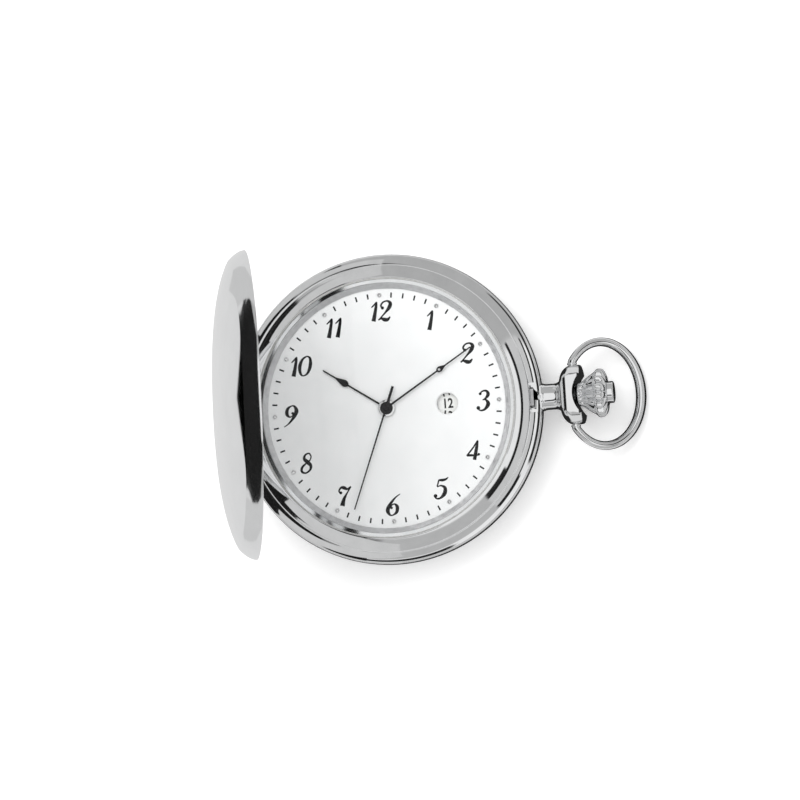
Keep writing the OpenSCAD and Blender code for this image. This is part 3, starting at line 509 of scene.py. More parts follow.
@dataclass(frozen=True)
class Finish:
    """A surface finish: a base colour that varies a little, with fine grain in its gloss and height.

    Attributes:
        name: the material's name.
        colour: main colour.
        shade: darker or lighter colour that it varies towards.
        metallic: 1 for bare metal, 0 otherwise.
        roughness: smallest roughness.
        rough_span: how much rougher the grain makes it in places.
        grain: size of the grain in millimetres.
        stretch: how much longer than wide the grain is, along X, Y and Z.
        bump: height of the grain in millimetres.
        coat: strength of a clear coat.
        gloss: strength of the mirror of a surface that is not metal.
    """

    name: str
    colour: Point3
    shade: Point3
    metallic: float = 0.0
    roughness: float = 0.4
    rough_span: float = 0.08
    grain: float = 1.0
    stretch: Point3 = (1.0, 1.0, 1.0)
    bump: float = 0.0
    coat: float = 0.0
    gloss: float = 0.5

    def material(self) -> Material:
        """Returns the finish as a material."""
        return painted(self.name + "_look", self.shader)

    def shader(self, graph: NodeGraph) -> Socket:
        """Draws the finish in a node tree and returns its socket.

        Args:
            graph: the material's node tree.

        Returns:
            The shader's socket.
        """
        place = graph.add("TexCoord")
        scale = graph.add("Mapping")
        size = 1.0 / (self.grain * MM)
        scale.inputs["Scale"].default_value = [size / s for s in self.stretch]
        graph.link(place.outputs["Object"], scale.inputs["Vector"])
        noise = graph.add("TexNoise", Scale=1.0, Detail=5.0, Roughness=0.55)
        graph.link(scale.outputs["Vector"], noise.inputs["Vector"])
        shader = graph.add("BsdfPrincipled", Metallic=self.metallic, Coat_Weight=self.coat,
                           Coat_Roughness=0.05, Specular_IOR_Level=self.gloss)
        graph.link(graph.ramp(noise.outputs["Fac"], *NOISE_TO_COLOUR, self.colour, self.shade),
                   shader.inputs["Base Color"])
        graph.link(graph.fade(noise.outputs["Fac"], *NOISE_TO_ROUGHNESS, self.roughness,
                              self.roughness + self.rough_span, "LINEAR"), shader.inputs["Roughness"])
        if self.bump > 0:
            bump = graph.add("Bump", Strength=1.0, Distance=self.bump * MM)
            graph.link(noise.outputs["Fac"], bump.inputs["Height"])
            graph.link(bump.outputs["Normal"], shader.inputs["Normal"])
        return shader.outputs["BSDF"]


@dataclass(frozen=True)
class CrystalFinish:
    """Clear mineral glass: it lets light through and mirrors a little at a slant."""

    name: str = "mineral_crystal"
    tint: Point3 = (0.985, 0.99, 0.99)
    ior: float = 1.38

    def material(self) -> Material:
        """Returns the glass as a material."""
        return painted(self.name + "_look", self.shader)

    def shader(self, graph: NodeGraph) -> Socket:
        """Draws the glass in a node tree and returns its socket.

        Args:
            graph: the material's node tree.

        Returns:
            The shader's socket.
        """
        place = graph.add("TexCoord")
        noise = graph.add("TexNoise", Scale=900.0, Detail=3.0)
        graph.link(place.outputs["Object"], noise.inputs["Vector"])
        clear = graph.add("BsdfTransparent")
        graph.link(graph.ramp(noise.outputs["Fac"], 0.3, 0.8, self.tint, (1, 1, 1)), clear.inputs["Color"])
        gloss = graph.add("BsdfGlossy", Roughness=0.02)
        fresnel = graph.add("Fresnel", IOR=self.ior)
        side = graph.add("NewGeometry")
        outside = graph.math("SUBTRACT", 1.0, side.outputs["Backfacing"])
        share = graph.math("MULTIPLY", fresnel.outputs["Fac"], outside)
        return graph.mixed(share, clear.outputs["BSDF"], gloss.outputs["BSDF"])


class Finishes(Enum):
    """The finishes of the watch's pieces."""

    POLISHED = Finish("polished_steel", (0.88, 0.885, 0.89), (0.82, 0.825, 0.83), 1.0, 0.045, 0.03, 3.0)
    LID_POLISH = Finish("lid_polish", (0.88, 0.885, 0.89), (0.84, 0.845, 0.85), 1.0, 0.08, 0.04, 5.0)
    TURNED = Finish("turned_steel", (0.72, 0.73, 0.74), (0.6, 0.61, 0.62), 1.0, 0.2, 0.1, 0.4,
                    (1, 1, 4), 0.002)
    SPRING = Finish("spring_steel", (0.56, 0.56, 0.57), (0.46, 0.46, 0.47), 1.0, 0.25, 0.1, 0.5,
                    (4, 1, 1), 0.002)
    BLUED = Finish("blued_screw", (0.1, 0.16, 0.4), (0.08, 0.1, 0.28), 1.0, 0.15, 0.08, 0.3)
    BRASS = Finish("movement_brass", (0.83, 0.66, 0.34), (0.74, 0.56, 0.26), 1.0, 0.22, 0.12, 0.5,
                   (1, 5, 1), 0.003)
    DIAL = Finish("dial_lacquer", (0.93, 0.93, 0.93), (0.89, 0.89, 0.89), 0.0, 0.38, 0.1, 6.0, coat=0.1)
    DIAL_RING = Finish("dial_ring_silver", (0.8, 0.8, 0.81), (0.68, 0.68, 0.69), 1.0, 0.28, 0.12, 0.8)
    PRINT = Finish("dial_print", (0.006, 0.006, 0.007), (0.014, 0.014, 0.014), 0.0, 0.55, 0.1, 0.3,
                   gloss=0.15)
    HAND = Finish("hand_black", (0.005, 0.005, 0.006), (0.012, 0.012, 0.013), 0.0, 0.4, 0.12, 0.6,
                  gloss=0.15)
    STUD = Finish("applied_stud", (0.9, 0.9, 0.9), (0.8, 0.8, 0.8), 1.0, 0.1, 0.05, 0.3)
    RUBBER = Finish("gasket_rubber", (0.02, 0.02, 0.02), (0.05, 0.05, 0.05), 0.0, 0.6, 0.2, 0.3, bump=0.01)
    CLEAR_SEAL = Finish("crystal_seal", (0.5, 0.5, 0.49), (0.38, 0.38, 0.37), 0.0, 0.4, 0.15, 0.5)
    RING_PLASTIC = Finish("movement_ring_plastic", (0.7, 0.69, 0.66), (0.62, 0.61, 0.58), 0.0, 0.5, 0.15, 0.8,
                          bump=0.01)
    BOARD = Finish("circuit_lacquer", (0.02, 0.22, 0.1), (0.02, 0.12, 0.06), 0.0, 0.3, 0.15, 1.2)
    CHIP = Finish("chip_resin", (0.02, 0.02, 0.02), (0.05, 0.05, 0.05), 0.0, 0.55, 0.15, 0.2, bump=0.004)
    COPPER = Finish("coil_wire", (0.8, 0.4, 0.2), (0.5, 0.2, 0.08), 1.0, 0.3, 0.1, 0.12, (0.25, 4, 4), 0.02)
    IRON = Finish("core_iron", (0.45, 0.46, 0.48), (0.35, 0.36, 0.38), 1.0, 0.35, 0.15, 0.5)
    DATE = Finish("date_disc_lacquer", (0.9, 0.9, 0.88), (0.85, 0.85, 0.83), 0.0, 0.45, 0.1, 1.0)
    ROTOR = Finish("rotor_resin", (0.08, 0.09, 0.1), (0.05, 0.05, 0.06), 0.0, 0.4, 0.15, 0.4)


NODE_FINISH: Dict[Finishes, str] = {
    Finishes.POLISHED: "middle_case bezel back_cover case_knuckles hinge_pin lid lid_knuckle lid_catch_lug"
                       " pendant_neck pendant_collar bow crown crown_cap button_cell",
    Finishes.STUD: "hour_studs",
    Finishes.TURNED: "release_bush stem_sleeve stem clutch_wheel date_plate quartz_can",
    Finishes.SPRING: "lift_spring lock_spring setting_lever yoke date_jumper",
    Finishes.BLUED: "spring_screws ring_screws bridge_screws",
    Finishes.BRASS: "main_plate train_bridge cell_strap intermediate_wheel seconds_wheel third_wheel"
                    " centre_wheel minute_wheel hour_wheel date_wheel setting_wheel",
    Finishes.DIAL: "dial",
    Finishes.DIAL_RING: "dial_ring",
    Finishes.RUBBER: "back_gasket",
    Finishes.CLEAR_SEAL: "crystal_gasket",
    Finishes.RING_PLASTIC: "movement_ring",
    Finishes.BOARD: "circuit_board",
    Finishes.CHIP: "time_chip",
    Finishes.COPPER: "coil",
    Finishes.IRON: "coil_core stator",
    Finishes.ROTOR: "rotor",
    Finishes.DATE: "date_disc",
    Finishes.HAND: "hour_hand minute_hand seconds_hand",
}


def new_piece(name: str, mesh: Mesh, finish: Material, body: str,
              smooth: float = 30.0) -> bpy.types.Object:
    """Adds a mesh to the scene as a piece that rides on a body.

    Args:
        name: the piece's name.
        mesh: its mesh, in metres.
        finish: its material.
        body: the body that it moves with.
        smooth: edges sharper than this angle stay sharp.

    Returns:
        The new object.
    """
    piece = added(name, mesh)
    mesh.materials.clear()
    mesh.materials.append(finish)
    mesh.shade_smooth()
    mesh.set_sharp_from_angle(angle=math.radians(smooth))
    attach(piece, body)
    log.info("%s: %d faces", name, len(mesh.polygons))
    return piece


@dataclass
class CameraView:
    """The photograph's camera: a long lens almost straight above the dial.

    Attributes:
        dial_height: height of the dial's face above the floor.
        right: direction of the picture's right side.
        back: direction from the dial to the camera.
        offset: where the picture's middle lies on the dial, along right and up.
        distance: from the dial to the camera.
        scale: pixels for each millimetre at the dial.
        frame: pixels across the picture.
    """

    dial_height: float = 8.1
    right: Point3 = (0.9854, -0.0659, -0.1571)
    back: Point3 = (0.1512, -0.0863, 0.9848)
    offset: Point2 = (2.05, 1.27)
    distance: float = 1350.0
    scale: float = 6.467
    frame: int = 800

    def build(self) -> None:
        """Adds the camera and makes it the scene's camera."""
        data = bpy.data.cameras.new("photo_camera")
        data.sensor_fit = "HORIZONTAL"
        data.sensor_width = 36.0
        data.lens = self.scale * self.distance * data.sensor_width / self.frame
        data.clip_start = 0.01
        data.clip_end = 10.0
        back = Vector(self.back).normalized()
        right = (Vector(self.right) - back * Vector(self.right).dot(back)).normalized()
        up = back.cross(right)
        place = (Vector((0, 0, self.dial_height)) + right * self.offset[0] + up * self.offset[1]
                 + back * self.distance) * MM
        camera = added("photo_camera", data)
        turn = Matrix((right, up, back)).transposed().to_4x4()
        camera.matrix_world = Matrix.Translation(place) @ turn
        bpy.context.scene.camera = camera


@dataclass(frozen=True)
class Flag:
    """A grey or black screen or a light, far off, that only polished metal and glass show.

    Attributes:
        azimuth: direction of its middle, counted from the crown's side towards twelve o'clock.
        height: its middle's angle above the horizon.
        half_width: half its width as an angle.
        half_height: half its height as an angle.
        value: its brightness.
        soft: width of its soft edge as an angle.
    """

    azimuth: float
    height: float
    half_width: float
    half_height: float
    value: float
    soft: float = 4.0


STUDIO_FLAGS: Tuple[Flag, ...] = (
    Flag(82, 27, 50, 33, 0.46, 8),
    Flag(282, 14, 32, 24, 0.5, 5),
    Flag(241, 14, 12, 24, 0.22, 5),
    Flag(352, 11, 41, 14, 0.62, 2),
    Flag(352, 28.5, 41, 3.0, 0.01, 1.2),
    Flag(320, 34, 9, 4, 0.02, 2),
    Flag(180, 15, 50, 45, 0.01, 3),
    Flag(0, 0.5, 180, 2.2, 0.03, 1.5),
    Flag(18, 55, 42, 6, 0.02, 3),
    Flag(255, 52, 26, 6, 0.03, 3),
)


@dataclass(frozen=True)
class Card:
    """A card close to the watch that only polished metal shows, with one light and one dark side.

    Attributes:
        name: the card's name.
        corners: its corners, in millimetres, counterclockwise seen from its light side.
        light: brightness of the light side.
        dark: brightness of the dark side.
    """

    name: str
    corners: Tuple[Point3, ...]
    light: float
    dark: float = 0.01

    def build(self) -> None:
        """Adds the card."""
        shape = bmesh.new()
        shape.faces.new([shape.verts.new(Vector(corner) * MM) for corner in self.corners])
        card = added(self.name, as_mesh(shape, self.name))
        card.visible_camera = card.visible_diffuse = card.visible_transmission = card.visible_shadow = False
        card.data.materials.append(painted(self.name, self.shader))
        card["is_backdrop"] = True

    def shader(self, graph: NodeGraph) -> Socket:
        """Draws the card's two sides, which are as bright as the sky to all but polished metal.

        Args:
            graph: the card's node tree.

        Returns:
            The shader's socket.
        """
        side = graph.add("NewGeometry")
        level = graph.math("MULTIPLY_ADD", side.outputs["Backfacing"], self.dark - self.light, self.light)
        lit = graph.math("SUBTRACT", 1.0, graph.mirrored())
        return graph.glow(graph.math("MAXIMUM", level, graph.math("MULTIPLY", lit, SKY)))


STUDIO_CARDS: Tuple[Card, ...] = (
    Card("card_over_lid", ((-16, -34, 75), (-16, 34, 75), (-120, 320, 75), (-330, 320, 75),
                           (-330, -320, 75), (-120, -320, 75)), 0.01),
    Card("card_beside_twelve", ((-38, 25, 14), (-38, 320, 14), (-38, 320, 150), (-38, 25, 40)), 0.61),
    Card("card_beside_six", ((-38, -320, 14), (-38, -25, 14), (-38, -25, 40), (-38, -320, 150)), 0.63),
)


@dataclass
class Studio:
    """A white sweep under even light, with screens round it for the polished metal to mirror.

    Attributes:
        floor_size: half width of the floor.
        floor_drop: how far the floor lies under the watch.
        floor_white: colour of the floor.
        floor_lift: light that the floor adds where the camera sees it.
        floor_shown: brightness of the floor in mirrors.
        sky_shown: brightness of the surroundings in mirrors, where no screen is.
        lamp_energy: power of the soft lamp above.
        lamp_place: place of the lamp, in metres.
        lamp_size: width of the lamp, in metres.
        flags: the screens and lights that only mirrors show.
        cards: the cards close to the watch.
        card_tip: where the painted dark reflection begins: a wedge painted on the floor at the left, dark in
            mirrors only.
        card_spread: how fast that wedge widens.
        card_soft: half width of its soft edge.
        floor_shade: middles and radii of discs of painted contact shade round the case and the bow, in
            mirrors.
        shade_soft: half width of their soft edge.
        shade_depth: how much light they take away.
    """

    floor_size: float = 600.0
    floor_drop: float = 0.02
    floor_white: Point3 = (0.88, 0.88, 0.88)
    floor_lift: float = 0.25
    floor_shown: float = 0.74
    sky_shown: float = 0.9
    lamp_energy: float = 2.4
    lamp_place: Point3 = (-0.25, 0.3, 0.6)
    lamp_size: float = 0.5
    flags: Tuple[Flag, ...] = STUDIO_FLAGS
    cards: Tuple[Card, ...] = STUDIO_CARDS
    # painted dark reflection: the floor is painted dark in a wedge left of the lid, for mirrors only
    card_tip: Point2 = (-88.0, 8.0)
    card_spread: float = 0.6
    card_soft: float = 2.0
    # painted contact shade: dark discs on the floor round the case and the bow, for mirrors only
    floor_shade: Tuple[Point3, ...] = ((0.0, 0.0, 27.5), (34.5, 0.0, 13.5))
    shade_soft: float = 1.5
    shade_depth: float = 0.97

    def build(self) -> None:
        """Adds the floor, the world, the lamp and the cards."""
        self.build_floor()
        self.build_world()
        self.build_lamp()
        for card in self.cards:
            card.build()

    def build_floor(self) -> None:
        """Adds the pale floor under the watch."""
        grid = bmesh.new()
        bmesh.ops.create_grid(grid, x_segments=1, y_segments=1, size=self.floor_size * MM)
        floor = added("floor", as_mesh(grid, "floor"))
        floor.location.z = -self.floor_drop * MM
        floor.data.materials.append(painted("floor_white", self.floor_shader))
        floor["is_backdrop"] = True

    def floor_shader(self, graph: NodeGraph) -> Socket:
        """Draws the floor: pale to the eye, with the painted dark reflection wedge and the discs of painted
        contact shade in mirrors.

        Args:
            graph: the floor's node tree.

        Returns:
            The shader's socket.
        """
        white = graph.add("BsdfDiffuse", Color=(*self.floor_white, 1))
        path = graph.add("LightPath")
        seen = graph.math("MAXIMUM", path.outputs["Is Camera Ray"], path.outputs["Is Transmission Ray"])
        both = graph.add("AddShader")
        graph.link(white.outputs["BSDF"], both.inputs[0])
        graph.link(graph.glow(graph.math("MULTIPLY", seen, self.floor_lift)), both.inputs[1])
        # painted dark reflection: the wedge of floor left of the lid, dark for mirrors only
        dark = self.black_card(graph)
        # painted contact shade round the case and the bow, for mirrors only
        for x, y, radius in self.floor_shade:
            dark = graph.math("MAXIMUM", dark, self.shade(graph, x, y, radius))
        shown = graph.math("MULTIPLY_ADD", dark, -self.floor_shown, self.floor_shown)
        return graph.mixed(path.outputs["Is Glossy Ray"], both.outputs["Shader"], graph.glow(shown))

    def shade(self, graph: NodeGraph, x: float, y: float, radius: float) -> Socket:
        """Returns the painted contact shade: where the floor close to the watch is dark in mirrors.

        Args:
            graph: the floor's node tree.
            x: middle of the shade along X, in millimetres.
            y: middle of the shade along Y.
            radius: its radius.

        Returns:
            The share's socket.
        """
        place = graph.add("NewGeometry")
        away = graph.add("VectorMath", operation="DISTANCE")
        graph.link(place.outputs["Position"], away.inputs[0])
        away.inputs[1].default_value = (x * MM, y * MM, 0.0)
        return graph.fade(away.outputs["Value"], (radius - self.shade_soft) * MM,
                          (radius + self.shade_soft) * MM, self.shade_depth, 0.0)

    def black_card(self, graph: NodeGraph) -> Socket:
        """Returns the painted dark reflection: where the floor left of the lid is dark in mirrors only, a
        wedge that widens away from it.

        Args:
            graph: the floor's node tree.

        Returns:
            The share's socket.
        """
        place = graph.add("TexCoord")
        spot = graph.add("SeparateXYZ")
        graph.link(place.outputs["Object"], spot.inputs["Vector"])
        reach = graph.math("SUBTRACT", self.card_tip[0] * MM, spot.outputs["X"])
        aside = graph.math("ABSOLUTE", graph.math("SUBTRACT", spot.outputs["Y"], self.card_tip[1] * MM))
        inside = graph.math("SUBTRACT", graph.math("MULTIPLY", reach, self.card_spread), aside)
        return graph.fade(inside, -self.card_soft * MM, self.card_soft * MM)

    def build_world(self) -> None:
        """Adds the white surroundings, with the screens that mirrors show."""
        world = bpy.data.worlds.new("studio")
        world.use_nodes = True
        bpy.context.scene.world = world
        graph = NodeGraph(world.node_tree)
        place = graph.add("TexCoord")
        way = graph.add("SeparateXYZ")
        graph.link(place.outputs["Generated"], way.inputs["Vector"])
        azimuth = graph.math("ARCTAN2", way.outputs["Y"], way.outputs["X"])
        height = graph.math("ARCSINE", way.outputs["Z"])
        value: object = self.sky_shown
        for flag in self.flags:
            turn = graph.math("COSINE", graph.math("SUBTRACT", azimuth, math.radians(flag.azimuth)))
            turn = graph.math("ARCCOSINE", graph.math("MULTIPLY", turn, BELOW_ONE))
            rise = graph.math("ABSOLUTE", graph.math("SUBTRACT", height, math.radians(flag.height)))
            share = graph.math("MULTIPLY", self.edge(graph, turn, flag.half_width, flag.soft),
                               self.edge(graph, rise, flag.half_height, flag.soft))
            rest = graph.math("MULTIPLY", value, graph.math("SUBTRACT", 1.0, share))
            value = graph.math("ADD", rest, graph.math("MULTIPLY", share, flag.value))
        mirrored = graph.mirrored()
        plain = graph.math("MULTIPLY", SKY, graph.math("SUBTRACT", 1.0, mirrored))
        level = graph.math("ADD", plain, graph.math("MULTIPLY", value, mirrored))
        sky = graph.add("Background", Color=(1, 1, 1, 1))
        graph.link(level, sky.inputs["Strength"])
        graph.end(sky.outputs["Background"], "OutputWorld")

    @staticmethod
    def edge(graph: NodeGraph, angle: Socket, half: float, soft: float) -> Socket:
        """Returns 1 inside a half angle and 0 outside it, with a soft edge.

        Args:
            graph: the node tree.
            angle: angle from the middle, in radians.
            half: the half angle, in degrees.
            soft: width of the edge, in degrees.

        Returns:
            The share's socket.
        """
        return graph.fade(angle, math.radians(half - soft / 2), math.radians(half + soft / 2), 1.0, 0.0)

    def build_lamp(self) -> None:
        """Adds the soft lamp above the watch, which mirrors do not show."""
        data = bpy.data.lights.new("soft_box", "AREA")
        data.energy = self.lamp_energy
        data.size = self.lamp_size
        lamp = added("soft_box", data)
        lamp.location = self.lamp_place
        lamp.rotation_euler = Vector(self.lamp_place).to_track_quat("Z", "Y").to_euler()
        lamp.visible_glossy = False


# The strokes of each figure, in hundredths of its height: x, y and the pen's width at each point.
# A comma parts two points, and a semicolon two strokes.
FIGURES: Dict[str, str] = {
    "0": "36 100 5, 14 84 9, 5 48 13, 14 12 9, 32 0 5, 52 14 9, 60 52 13, 53 88 9, 36 100 5",
    "1": "4 72 4, 16 84 6, 28 99 5; 27 100 6, 28 80 10, 27 35 13, 25 0 16",
    "2": "15 66 6, 7 80 7, 17 96 6, 38 100 7, 55 87 13, 52 66 14, 38 45 8, 18 20 5, 4 5 5; 4 5 5, "
         "18 12 8, 36 5 14, 52 4 12, 64 18 4",
    "3": "8 86 5, 22 99 6, 42 98 9, 53 80 13, 42 60 8, 28 54 4; 28 54 4, 46 52 7, 60 30 15, 46 5 9, "
         "24 0 6, 8 12 5",
    "4": "46 100 4, 28 64 6, 0 24 6; 0 24 6, 20 25 9, 50 22 5, 66 27 5; 47 98 6, 46 60 12, 43 0 13",
    "5": "16 95 6, 34 93 10, 52 96 8, 64 106 3; 17 96 6, 12 62 5; 12 60 4, 32 65 6, 54 52 12, 56 24 15, "
         "38 2 8, 18 0 6, 6 12 5",
    "6": "60 106 3, 36 88 6, 13 54 12, 6 26 15, 20 3 8, 36 0 5, 54 14 11, 54 40 13, 38 56 6, 22 50 5, "
         "22 36 6",
    "7": "10 66 6, 0 78 6, 8 94 8, 24 93 13, 42 85 8, 60 97 5; 60 97 5, 44 64 6, 32 34 12, 28 0 18",
    "8": "50 84 5, 36 100 6, 18 94 7, 15 74 11, 34 56 15, 53 38 12, 54 16 8, 34 0 6, 12 8 9, 10 30 9, "
         "28 50 6, 46 66 5, 50 84 5",
}


def pen_strokes(row: str) -> List[Stroke]:
    """Reads a figure's strokes from its row of the table."""
    return [[tuple(float(number) / 100 for number in point.split()) for point in stroke.split(",")]
            for stroke in row.split(";")]


@dataclass
class Glyphs:
    """Italic figures drawn as pen strokes: x and y in a box of height 1, and the stroke's width.

    Attributes:
        slant: how far the top leans to the right.
        weight: factor on every stroke's width.
        strokes: strokes of each figure.
        balls: round ends of each figure, as x, y and radius.
        advance: how far a figure moves the pen on.
        narrow: the same for figures that are narrower.
        gap: part of it that is the gap before the next figure.
        nine: width in which the six turns over into a nine.
    """

    slant: float = 0.2
    weight: float = 1.42
    strokes: Dict[str, List[Stroke]] = field(
        default_factory=lambda: {figure: pen_strokes(row) for figure, row in FIGURES.items()})
    balls: Dict[str, List[Point3]] = field(default_factory=lambda: {
        "2": [(0.17, 0.66, 0.06)], "3": [(0.11, 0.86, 0.055), (0.11, 0.14, 0.07)], "4": [(0.62, 0.27, 0.05)],
        "5": [(0.1, 0.14, 0.07)], "6": [(0.24, 0.38, 0.05)], "7": [(0.11, 0.68, 0.055)]})
    advance: float = 0.72
    narrow: Dict[str, float] = field(default_factory=lambda: {"1": 0.46})
    gap: float = 0.1
    nine: float = 0.64

    def __post_init__(self) -> None:
        """Draws the nine as a six turned over."""
        self.strokes["9"] = [[(self.nine - x, 1.0 - y, w) for x, y, w in s] for s in self.strokes["6"]]
        self.balls["9"] = [(self.nine - x, 1.0 - y, r) for x, y, r in self.balls["6"]]

    def draw(self, ink: bmesh.types.BMesh, text: str, centre: Point2, height: float, z: float) -> None:
        """Draws a number.

        Args:
            ink: mesh that gets the strokes.
            text: the number's figures.
            centre: middle of the number.
            height: height of the figures.
            z: height of the print above the floor.
        """
        total = sum(self.narrow.get(c, self.advance) for c in text) - self.gap
        at = -total / 2
        for c in text:
            for stroke in self.strokes[c]:
                self.ribbon(ink, stroke, at, centre, height, z)
            for x, y, r in self.balls.get(c, []):
                self.disc(ink, (x, y), r * self.weight, at, centre, height, z)
            at += self.narrow.get(c, self.advance)

    def place(self, x: float, y: float, at: float, centre: Point2, height: float) -> Point2:
        """Returns where a figure's point lies on the dial, in millimetres."""
        return (centre[0] + height * (x + at + self.slant * (y - 0.5)), centre[1] + height * (y - 0.5))

    def ribbon(self, ink: bmesh.types.BMesh, stroke: Stroke, at: float, centre: Point2,
               height: float, z: float) -> None:
        """Draws one stroke as a band of faces.

        Args:
            ink: mesh that gets the faces.
            stroke: x, y and width at each point.
            at: where the figure starts, as a share of its height.
            centre: middle of the number.
            height: height of the figures.
            z: height of the print above the floor.
        """
        path = smoothed(stroke, 7)
        points = [self.place(x, y, at, centre, height) for x, y, _ in path]
        halves = [w * height * self.weight / 2 for _, _, w in path]
        left, right = [], []
        for i, (point, half) in enumerate(zip(points, halves)):
            a, b = points[max(i - 1, 0)], points[min(i + 1, len(points) - 1)]
            run = math.hypot(b[0] - a[0], b[1] - a[1]) or 1.0
            nx, ny = -(b[1] - a[1]) / run, (b[0] - a[0]) / run
            for row, out in ((left, half), (right, -half)):
                row.append(ink.verts.new(((point[0] + nx * out) * MM, (point[1] + ny * out) * MM, z * MM)))
        for i in range(len(points) - 1):
            ink.faces.new((left[i], right[i], right[i + 1], left[i + 1]))

    def disc(self, ink: bmesh.types.BMesh, spot: Point2, radius: float, at: float, centre: Point2,
             height: float, z: float) -> None:
        """Draws a round end.

        Args:
            ink: mesh that gets the face.
            spot: its middle in the figure's box.
            radius: its radius, as a share of the height.
            at: where the figure starts, as a share of its height.
            centre: middle of the number.
            height: height of the figures.
            z: height of the print above the floor.
        """
        cx, cy = self.place(spot[0], spot[1], at, centre, height)
        ring = [polar(radius * height, 30 * k) for k in range(12)]
        ink.faces.new([ink.verts.new(((cx + x) * MM, (cy + y) * MM, z * MM)) for x, y in ring])


@dataclass
class DialPrint:
    """The figures and the minute track printed on the dial.

    Attributes:
        face: height of the dial's face.
        figure_radius: radius of the hour figures' middles.
        figure_height: height of the hour figures.
        track_radius: radius of the minute track's middle.
        dash: length and width of a minute dash.
        ink: thickness of the print.
    """

    face: float = 8.1
    figure_radius: float = 15.1
    figure_height: float = 3.0
    track_radius: float = 17.57
    dash: Point2 = (0.8, 0.25)
    ink: float = 0.006

    def build(self) -> None:
        """Adds the printing as one piece on the dial."""
        shape = bmesh.new()
        glyphs = Glyphs()
        for hour in range(1, 13):
            centre = polar(self.figure_radius, 90 - 30 * hour)
            glyphs.draw(shape, str(hour), centre, self.figure_height, self.face + self.ink)
        for minute in range(60):
            if minute % 5:  # a stud stands at each fifth minute
                self.add_dash(shape, 90 - 6 * minute)
        new_piece("dial_print", as_mesh(shape, "dial_print"), Finishes.PRINT.value.material(), "case")

    def add_dash(self, shape: bmesh.types.BMesh, degrees: float) -> None:
        """Adds one minute dash at an angle.

        Args:
            shape: mesh that gets the dash.
            degrees: its angle from +X.
        """
        half_l, half_w = self.dash[0] / 2, self.dash[1] / 2
        turn = Matrix.Rotation(math.radians(degrees), 3, "Z")
        corners = [(-half_l, -half_w), (half_l, -half_w), (half_l, half_w), (-half_l, half_w)]
        shape.faces.new([shape.verts.new(turn @ Vector(((self.track_radius + x) * MM, y * MM,
                                                         (self.face + self.ink) * MM))) for x, y in corners])


@dataclass
class DateFigures:
    """Plain figures from 1 to 31 round the date disc.

    Attributes:
        radius: radius of the figures' middles.
        height: height of a figure.
        top: height of the disc's face.
        shown: the day in the window.
        days: number of days on the disc.
        capital: height of the font's figures as a share of its size.
        narrowing: width of the figures as a share of the font's.
        bold: how far their outline is moved outwards.
        ink: thickness of the print.
    """

    radius: float = 9.46
    height: float = 1.5
    top: float = 7.3
    shown: int = 12
    days: int = 31
    capital: float = 0.72
    narrowing: float = 0.82
    bold: float = 0.05
    ink: float = 0.006

    def build(self) -> None:
        """Adds the figures as one piece on the date disc."""
        shape = bmesh.new()
        for day in range(1, self.days + 1):
            self.add_day(shape, day)
        new_piece("date_figures", as_mesh(shape, "date_figures"), Finishes.PRINT.value.material(),
                  "date_disc")

    def add_day(self, shape: bmesh.types.BMesh, day: int) -> None:
        """Adds one day's figures at its place on the disc.

        Args:
            shape: mesh that gets the figures.
            day: the day.
        """
        curve = bpy.data.curves.new("day", "FONT")
        curve.body = str(day)
        curve.size = self.height / self.capital * MM
        curve.align_x, curve.align_y = "CENTER", "CENTER"
        curve.resolution_u = 3
        curve.offset = self.bold * MM
        holder = added("day", curve)
        bpy.context.view_layer.update()
        flat = holder.to_mesh()
        turn = Matrix.Rotation(2 * math.pi * (self.shown - day) / self.days, 4, "Z")
        lift = shift(self.radius * MM, 0, (self.top + self.ink) * MM)
        squeeze = Matrix.Diagonal((self.narrowing, 1, 1, 1))
        flat.transform(turn @ lift @ squeeze)
        shape.from_mesh(flat)
        holder.to_mesh_clear()
        bpy.data.objects.remove(holder)
        bpy.data.curves.remove(curve)


@dataclass
class Hinge:
    """Where the lid turns: its axis lies along Y at nine o'clock, turned a little.

    Attributes:
        radius: distance of the axis from the watch's middle.
        height: height of the axis.
        turn: turn of the hinge from nine o'clock, in degrees.
        opening: angle at which the lid stands.
        half: half length of the hinge.
        barrel: radius of its barrels.
        knuckle_half: half length of the lid's own barrel.
        clearance: play of the barrels in the lid.
    """

    radius: float = 23.15
    height: float = 6.65
    turn: float = 1.04
    opening: float = 76.2
    half: float = 6.238
    barrel: float = 0.75
    knuckle_half: float = 2.6
    clearance: float = 0.07

    def place(self) -> Matrix:
        """Returns the hinge's own frame."""
        return rotation(-self.turn, "Z") @ shift(-self.radius, 0, self.height)

    def opened(self) -> Matrix:
        """Returns the move from the closed lid to the open one."""
        return self.place() @ rotation(-self.opening, "Y") @ self.place().inverted()


